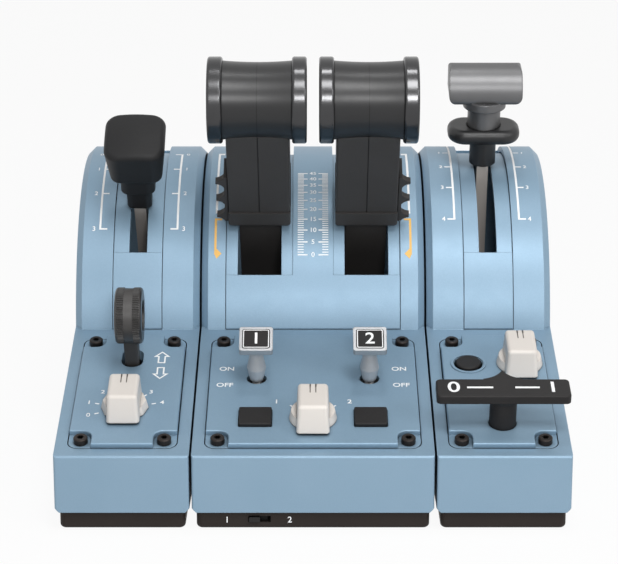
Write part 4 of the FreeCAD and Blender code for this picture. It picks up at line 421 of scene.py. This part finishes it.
def drum_mark(sheet, side, near, far, low, high, middle=0.0):
    """A printed rectangle that follows the drum between two angles, and between two distances to
    one side of a middle line."""
    left, right = sorted((middle + side * near, middle + side * far))
    steps = max(1, round((high - low) / ARC_STEP))
    angles = [low + (high - low) * step / steps for step in range(steps + 1)]
    sheet.slab([(drum_point(left, a), drum_point(right, a), drum_out(a)) for a in angles])


def drum_number(sheet, text, size, x, angle):
    up = drum_out(angle).cross(RIGHT)
    sheet.glyphs(text, size, drum_point(x, angle), RIGHT, up)


def main_scale():
    """The thrust scale on the island between the levers, 0 to 45, closing up towards the top."""
    sheet = Sheet("thrust_scale_print", PRINT, "quadrant", "shell_blue")
    edge, number = 7.6 * MM, 3.5 * MM
    for tick in range(SCALE_TICKS):
        major = tick % SCALE_MAJOR == 0
        reach, half = (4.9 * MM, 0.33 * MM) if major else (3.0 * MM, 0.24 * MM)
        angle = SCALE_START + SCALE_STEP * tick - SCALE_CLOSING * tick * tick
        half /= DEGREE_LENGTH
        for side in (-1, 1):
            drum_mark(sheet, side, edge, edge - reach, angle - half, angle + half)
        if major:
            drum_number(sheet, str(tick), number, 0.0, angle)
    sheet.done()


def main_brackets():
    """The brackets beside the thrust levers: white above, yellow with a pointer below."""
    white = Sheet("thrust_bracket_white", PRINT, "quadrant", "shell_blue")
    yellow = Sheet("thrust_bracket_yellow", YELLOW, "quadrant", "shell_blue")
    outer, inner, bar = 48.9 * MM, 45.3 * MM, 1.1 * MM
    tick = 1.0 * MM / DEGREE_LENGTH
    end_tick = 2.2 * tick
    yellow_inner, white_outer, white_inner = outer - bar, outer - 0.3 * bar, outer - 1.3 * bar
    for side in (-1, 1):
        drum_mark(yellow, side, yellow_inner, outer, YELLOW_LOW, YELLOW_HIGH)
        drum_mark(yellow, side, inner, yellow_inner, YELLOW_HIGH - tick, YELLOW_HIGH)
        corners = ((outer, POINTER_MIDDLE), (yellow_inner, POINTER_FOOT),
                   (inner, POINTER_MIDDLE), (yellow_inner, POINTER_HEAD))
        pointer = [drum_point(side * x, angle) for x, angle in corners]
        yellow.prism(pointer if side < 0 else pointer[::-1], drum_out(POINTER_MIDDLE))
        drum_mark(white, side, white_inner, white_outer, WHITE_LOW, WHITE_HIGH)
        drum_mark(white, side, inner, white_inner, WHITE_HIGH - end_tick, WHITE_HIGH)
        drum_mark(white, side, inner, white_inner, WHITE_LOW, WHITE_LOW + tick)
    white.done()
    yellow.done()


def side_scale(name, middle, line, way, number_x, stops):
    """Two lines beside a side module's slot, with a numbered tick at each stop of the lever; the
    ticks lie outside the lines (way 1) or inside them (way -1)."""
    sheet = Sheet(name, PRINT, "quadrant", "shell_blue")
    half_width, tick, number = 0.5 * MM, 3.0 * MM, 3.6 * MM
    half = 0.42 * MM / DEGREE_LENGTH
    start = line + way * half_width
    for side in (-1, 1):
        drum_mark(sheet, side, line - half_width, line + half_width,
                  stops[0][1] - half, stops[-1][1] + half, middle)
        for text, angle in stops:
            drum_mark(sheet, side, start, start + way * tick, angle - half, angle + half, middle)
            drum_number(sheet, text, number, middle + side * number_x, angle)
    sheet.done()


# Prints on the consoles -----------------------------------------------------------------------

# Text and its distance from the middle plane and up the slope, in millimetres
MIRRORED_WORDS = [("ON", 41.0, 69.3), ("OFF", 41.6, 55.2)]
MODE_NUMBERS = [("1", -17.0, 41.0), ("2", 17.0, 41.0)]
WORD_SIZE = 4.6 * MM
MODE_TURNS = (-45, 45)
BRAKE_TURNS = (-110, -75, -40, 40, 75)
TICK_HALF, TICK_START = 0.35, 12.6 * MM
MODE_TICK_END, BRAKE_TICK_END = 15.0 * MM, 14.6 * MM
BRAKE_NUMBER_RING, BRAKE_NUMBER_SIZE = 17.6, 4.0 * MM
ARROW_X = -72.6 * MM
ARROW_UP, ARROW_DOWN = 74.6 * MM, 70.9 * MM


def panel_point(x, up):
    return PANEL_START + RIGHT * x + UP_SLOPE * up


def panel_text(sheet, text, x, up):
    sheet.glyphs(text, WORD_SIZE, panel_point(x * MM, up * MM), RIGHT, UP_SLOPE)


def knob_along(turn):
    """The direction in the console's slope at a turn in degrees from straight up."""
    return UP_SLOPE * cos(radians(turn)) + RIGHT * sin(radians(turn))


def knob_ticks(sheet, middle, turns, end):
    for turn in turns:
        along = knob_along(turn)
        half = (RIGHT * cos(radians(turn)) - UP_SLOPE * sin(radians(turn))) * TICK_HALF * MM
        sheet.slab([(middle + along * reach - half, middle + along * reach + half, NORMAL)
                    for reach in (TICK_START, end)])


def arrow(sheet, x, up, way):
    """An outlined block arrow up (way 1) or down (way -1) the slope."""
    shaft, head, neck, length, line = 1.9 * MM, 4.0 * MM, 5.6 * MM, 10.4 * MM, 0.75 * MM
    head_inset, tip_inset = 2.2 * line, 1.5 * line
    outer = [(-shaft, 0), (-shaft, neck), (-head, neck), (0, length),
             (head, neck), (shaft, neck), (shaft, 0)]
    inner = [(-shaft + line, line), (-shaft + line, neck + line),
             (-head + head_inset, neck + line), (0, length - tip_inset),
             (head - head_inset, neck + line), (shaft - line, neck + line), (shaft - line, line)]
    loops = [[panel_point(x + across, up + way * along) for across, along in loop]
             for loop in (outer, inner)]
    sheet.border(*loops, NORMAL, flip=way > 0)


def panel_prints():
    """Plain marks round the console controls: ON and OFF, arrows, ticks and numbers."""
    sheet = Sheet("console_print", PRINT, "quadrant", "shell_blue")
    for side in (-1, 1):
        for text, x, up in MIRRORED_WORDS:
            panel_text(sheet, text, side * x, up)
    for text, x, up in MODE_NUMBERS:
        panel_text(sheet, text, x, up)
    knob_ticks(sheet, pivot("mode_knob_turn"), MODE_TURNS, MODE_TICK_END)
    brake = pivot("auto_brake_knob_turn")
    knob_ticks(sheet, brake, BRAKE_TURNS, BRAKE_TICK_END)
    for number, turn in enumerate(BRAKE_TURNS):
        spot = brake + knob_along(turn) * BRAKE_NUMBER_RING * MM
        sheet.glyphs(str(number), BRAKE_NUMBER_SIZE, spot, RIGHT, UP_SLOPE)
    arrow(sheet, ARROW_X, ARROW_UP, 1)
    arrow(sheet, ARROW_X, ARROW_DOWN, -1)
    sheet.done()


main_scale()
main_brackets()
for scale in SIDE_SCALES:
    side_scale(*scale)
panel_prints()


# Toggle tiles, knob grooves, gear wheel, park bar and tray marks -------------------------------

CONSOLE_SLOPE, TOGGLE_LEAN, TILE_TILT = 15.2, 3.0, 15.0
TILE_EDGE = 1.25 * MM
TILE_FLAT = 0.01 * MM
TILE_CORNER_STEPS = 4
TILE_NUMBER_SIZE = 9.5 * MM
# Inset, corner radius and lift of each outline on the tile
FIELD = (0.1 * MM, 1.0 * MM, -PRINT_THICK)
MARK_LIFT = 0.02 * MM
BORDER_OUTER = (0.55 * MM, 0.7 * MM, MARK_LIFT)
BORDER_INNER = (0.95 * MM, 0.5 * MM, MARK_LIFT)


def toggle_face(number):
    """The dark field, white border and number on one toggle's tile."""
    node = f"toggle_cap_{number}"
    tilt = radians(CONSOLE_SLOPE + TOGGLE_LEAN + TILE_TILT)
    out = Vector((0, -sin(tilt), cos(tilt)))
    up = Vector((0, cos(tilt), sin(tilt)))
    low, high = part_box(node)
    vertices = [v.co for v in frame["nodes"][node].data.vertices]
    top = max(v.dot(out) for v in vertices)
    face = [v for v in vertices if v.dot(out) > top - TILE_FLAT]
    middle = sum(face, Vector()) / len(face)
    middle.x = (low.x + high.x) / 2
    rows = [v.dot(up) for v in face]
    middle += up * ((max(rows) + min(rows)) / 2 - middle.dot(up))
    half_x = (high.x - low.x) / 2 - TILE_EDGE
    half_y = (max(rows) - min(rows)) / 2 - TILE_EDGE

    def rounded(inset, radius, lift):
        """The tile's outline with rounded corners, inset and lifted."""
        points = []
        for quarter, (side, end) in enumerate(((1, 1), (-1, 1), (-1, -1), (1, -1))):
            for step in range(TILE_CORNER_STEPS + 1):
                angle = radians(90 * (quarter + step / TILE_CORNER_STEPS))
                x = side * (half_x - inset - radius) + radius * cos(angle)
                y = end * (half_y - inset - radius) + radius * sin(angle)
                points.append(middle + RIGHT * x + up * y + out * lift)
        return points

    field = Sheet(f"toggle_field_{number}", CAP, f"toggle_{number}", "cap_dark")
    field.prism(rounded(*FIELD), out)
    field.done()
    marks = Sheet(f"toggle_print_{number}", PRINT, f"toggle_{number}", "cap_dark")
    marks.border(rounded(*BORDER_OUTER), rounded(*BORDER_INNER), out)
    marks.glyphs(number, TILE_NUMBER_SIZE, middle + out * MARK_LIFT, RIGHT, up)
    marks.done()


GROOVE_SPACING_HALF = 1.3
# Height above the knob's pivot, start and end up the slope, and half width, in millimetres
GROOVE_FLOOR = (13.9, 4.1, 7.35, 0.29)
GROOVE_LINE = (14.5, -0.6, 4.3, 0.22)


def knob_grooves(body, joint):
    """Dark floors for the grooves at the back of a knob's top, and lines that carry them on."""
    sheet = Sheet(f"{body}_grooves", GROOVE, body, "knob_ivory")
    for side in (-1, 1):
        for height, near, far, half in (GROOVE_FLOOR, GROOVE_LINE):
            middle = pivot(joint) + NORMAL * height * MM
            across = side * GROOVE_SPACING_HALF
            sheet.bar(middle, (across - half) * MM, (across + half) * MM, near * MM, far * MM)
    sheet.done()


WHEEL_RIBS, RIB_STEPS, RIB_DEPTH = 72, 4, 0.4 * MM
WHEEL_TURN, WHEEL_TURN_STEPS = 1.4 * MM, 4
WHEEL_HUB, WHEEL_HUB_SUNK, WHEEL_CENTRE = 7.5 * MM, 1.0 * MM, 0.01 * MM
WHEEL_BAND_HALF = 2.2 * MM


def wheel_stations(half, radius):
    """The wheel's outline from side to side: (x, radius, ribbed)."""
    inside = -half + WHEEL_HUB_SUNK
    stations = [(inside, WHEEL_CENTRE, 0), (inside, WHEEL_HUB, 0), (-half, WHEEL_HUB, 0),
                (-half, radius - WHEEL_TURN, 0)]
    for step in range(1, WHEEL_TURN_STEPS):
        angle = pi / 2 * step / WHEEL_TURN_STEPS
        stations.append((-half + WHEEL_TURN * (1 - cos(angle)),
                         radius - WHEEL_TURN * (1 - sin(angle)), 0))
    stations += [(-half + WHEEL_TURN, radius, 1), (-WHEEL_BAND_HALF, radius, 1),
                 (-WHEEL_BAND_HALF, radius - RIB_DEPTH, 0)]
    return stations + [(-x, reach, ribbed) for x, reach, ribbed in reversed(stations)]


def gear_wheel():
    """The gear lever's wheel with its fine ribs on both sides of a smooth middle band."""
    low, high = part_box("gear_wheel")
    middle = (low + high) / 2
    mesh = bmesh.new()
    rings = []
    steps = WHEEL_RIBS * RIB_STEPS
    for x, radius, ribbed in wheel_stations((high.x - low.x) / 2, (high.z - low.z) / 2):
        ring = []
        for step in range(steps):
            angle = 2 * pi * step / steps
            valley = ribbed and step % RIB_STEPS >= RIB_STEPS / 2
            reach = radius - (RIB_DEPTH if valley else 0)
            spot = middle + Vector((x, reach * cos(angle), reach * sin(angle)))
            ring.append(mesh.verts.new(spot))
        rings.append(ring)
    band = len(rings) // 2 - 1
    for index, (first, second) in enumerate(zip(rings, rings[1:])):
        for step in range(steps):
            after = (step + 1) % steps
            face = mesh.faces.new((first[step], second[step], second[after], first[after]))
            face.material_index = 1 if index == band else 0
    mesh.faces.new(rings[0])
    mesh.faces.new(reversed(rings[-1]))
    bmesh.ops.recalc_face_normals(mesh, faces=mesh.faces)
    wheel = piece_from(mesh, "ribbed_wheel", WHEEL, "gear")
    wheel.data.materials.append(BAND)
    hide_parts("gear_wheel")


PARK_NUMBER_SIZE, PARK_NUMBER_INSET = 12.0 * MM, 8.0 * MM
PARK_DASH_INSET, PARK_DASH_GAP_HALF, PARK_DASH_HALF = 14.0 * MM, 5.0 * MM, 0.7 * MM


def park_print():
    """The two end numbers on the park brake's bar, and the dashes between them."""
    axis = pivot("park_brake_turn")
    vertices = [v.co - axis for v in frame["nodes"]["park_bar"].data.vertices]
    left, right = min(v.x for v in vertices), max(v.x for v in vertices)
    middle = axis + NORMAL * max(v.dot(NORMAL) for v in vertices)
    sheet = Sheet("park_bar_print", PRINT, "park_handle", "lever_grey")
    for text, x in (("0", left + PARK_NUMBER_INSET), ("1", right - PARK_NUMBER_INSET)):
        sheet.glyphs(text, PARK_NUMBER_SIZE, middle + RIGHT * x, RIGHT, UP_SLOPE)
    for start, end in ((left + PARK_DASH_INSET, -PARK_DASH_GAP_HALF),
                       (PARK_DASH_GAP_HALF, right - PARK_DASH_INSET)):
        sheet.bar(middle, start, end, -PARK_DASH_HALF, PARK_DASH_HALF)
    sheet.done()


# Each number beside the slide switch, and its distance from the switch's middle
TRAY_NUMBERS = (("1", -12.5 * MM), ("2", 16.0 * MM))
TRAY_NUMBER_SIZE = 4.0 * MM


def tray_print():
    """A number on each side of the slide switch in the front of the main tray."""
    low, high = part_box("selector_slide")
    tray_low, tray_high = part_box("main_tray")
    sheet = Sheet("selector_print", PRINT, "quadrant", "tray_black")
    height = (tray_low.z + tray_high.z) / 2
    middle = (low.x + high.x) / 2
    for text, shift in TRAY_NUMBERS:
        spot = Vector((middle + shift, tray_low.y, height))
        sheet.glyphs(text, TRAY_NUMBER_SIZE, spot, RIGHT, Vector((0, 0, 1)))
    sheet.done()


for toggle in ("1", "2"):
    toggle_face(toggle)
for knob, turning in (("mode_selector", "mode_knob_turn"),
                      ("auto_brake_selector", "auto_brake_knob_turn"),
                      ("trim_selector", "trim_knob_turn")):
    knob_grooves(knob, turning)
gear_wheel()
park_print()
tray_print()


# Floor, light and camera ----------------------------------------------------------------------

FLOOR_HALF = 6.0
BACKDROP_COLOUR = (0.86, 0.86, 0.86, 1)
BACKDROP_ROUGHNESS, BACKDROP_GLOW = 0.9, 0.93
WORLD_LIGHT, WORLD_SEEN = 0.25, 1.0
# Name, place, target, width and power of each lamp
LAMPS = [
    ("front", (0.10, -1.35, 0.55), (0, 0, 0.12), 0.26, 5.4),
    ("side", (0.95, -0.85, 0.75), (0, 0, 0.10), 0.5, 3.5),
    ("key", (0.16, -0.72, 1.08), (0, 0, 0.10), 0.45, 6.2),
    ("overhead", (0.05, -0.02, 1.30), (0, 0, 0.08), 0.18, 1.5),
]
LENS, SENSOR_WIDTH = 128.16, 36.0
IMAGE_WIDTH, IMAGE_SHIFT = 618, -4
CAMERA_PITCH = 15
CAMERA_BACK, CAMERA_RISE = 0.9363, 0.3592


def straight_rays(tree):
    """A socket that is 1 for the rays that show the background itself: seen, mirrored or let
    through."""
    rays = tree.nodes.new("ShaderNodeLightPath")
    seen = rays.outputs["Is Camera Ray"]
    for ray in ("Is Glossy Ray", "Is Transmission Ray"):
        either = tree.nodes.new("ShaderNodeMath")
        either.operation = "MAXIMUM"
        tree.links.new(seen, either.inputs[0])
        tree.links.new(rays.outputs[ray], either.inputs[1])
        seen = either.outputs["Value"]
    return seen


def backdrop_material():
    """Near-white to the camera and to reflections, with the object's soft shadow on it."""
    nodes = Nodes("backdrop")
    nodes.shader.inputs["Base Color"].default_value = BACKDROP_COLOUR
    nodes.shader.inputs["Roughness"].default_value = BACKDROP_ROUGHNESS
    glow = nodes.add("ShaderNodeEmission")
    share = nodes.add("ShaderNodeMath", operation="MULTIPLY")
    share.inputs[1].default_value = BACKDROP_GLOW
    nodes.link(straight_rays(nodes.tree), share.inputs[0])
    mix = nodes.add("ShaderNodeMixShader")
    nodes.link(share.outputs["Value"], mix.inputs[0])
    nodes.link(nodes.shader.outputs["BSDF"], mix.inputs[1])
    nodes.link(glow.outputs["Emission"], mix.inputs[2])
    output = nodes.tree.nodes["Material Output"]
    nodes.link(mix.outputs["Shader"], output.inputs["Surface"])
    return nodes.material


def floor():
    mesh = bmesh.new()
    bmesh.ops.create_grid(mesh, x_segments=1, y_segments=1, size=FLOOR_HALF)
    data = bpy.data.meshes.new("floor")
    mesh.to_mesh(data)
    mesh.free()
    data.materials.append(backdrop_material())
    plane = bpy.data.objects.new("floor", data)
    bpy.context.scene.collection.objects.link(plane)


def area_light(name, place, target, width, power):
    data = bpy.data.lights.new(name, "AREA")
    data.shape, data.size, data.energy = "DISK", width, power
    lamp = bpy.data.objects.new(name, data)
    lamp.location = place
    lamp.rotation_euler = (Vector(target) - Vector(place)).to_track_quat("-Z", "Y").to_euler()
    bpy.context.scene.collection.objects.link(lamp)


def world():
    """Even light on the object, white where the background itself is seen."""
    sky = bpy.data.worlds.new("studio")
    sky.use_nodes = True
    tree = sky.node_tree
    background = tree.nodes["Background"]
    background.inputs["Color"].default_value = (1, 1, 1, 1)
    level = tree.nodes.new("ShaderNodeMapRange")
    level.inputs["To Min"].default_value = WORLD_LIGHT
    level.inputs["To Max"].default_value = WORLD_SEEN
    tree.links.new(straight_rays(tree), level.inputs["Value"])
    tree.links.new(level.outputs["Result"], background.inputs["Strength"])
    bpy.context.scene.world = sky


def camera():
    data = bpy.data.cameras.new("camera")
    data.lens, data.sensor_width = LENS, SENSOR_WIDTH
    data.shift_x = IMAGE_SHIFT / IMAGE_WIDTH
    lens = bpy.data.objects.new("camera", data)
    lens.location = (0.0, FRONT_Y - CAMERA_BACK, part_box("main_housing")[0].z + CAMERA_RISE)
    lens.rotation_euler = (radians(90 - CAMERA_PITCH), 0, 0)
    bpy.context.scene.collection.objects.link(lens)
    bpy.context.scene.camera = lens


floor()
for lamp in LAMPS:
    area_light(*lamp)
world()
camera()
bpy.context.scene.view_settings.view_transform = "Standard"
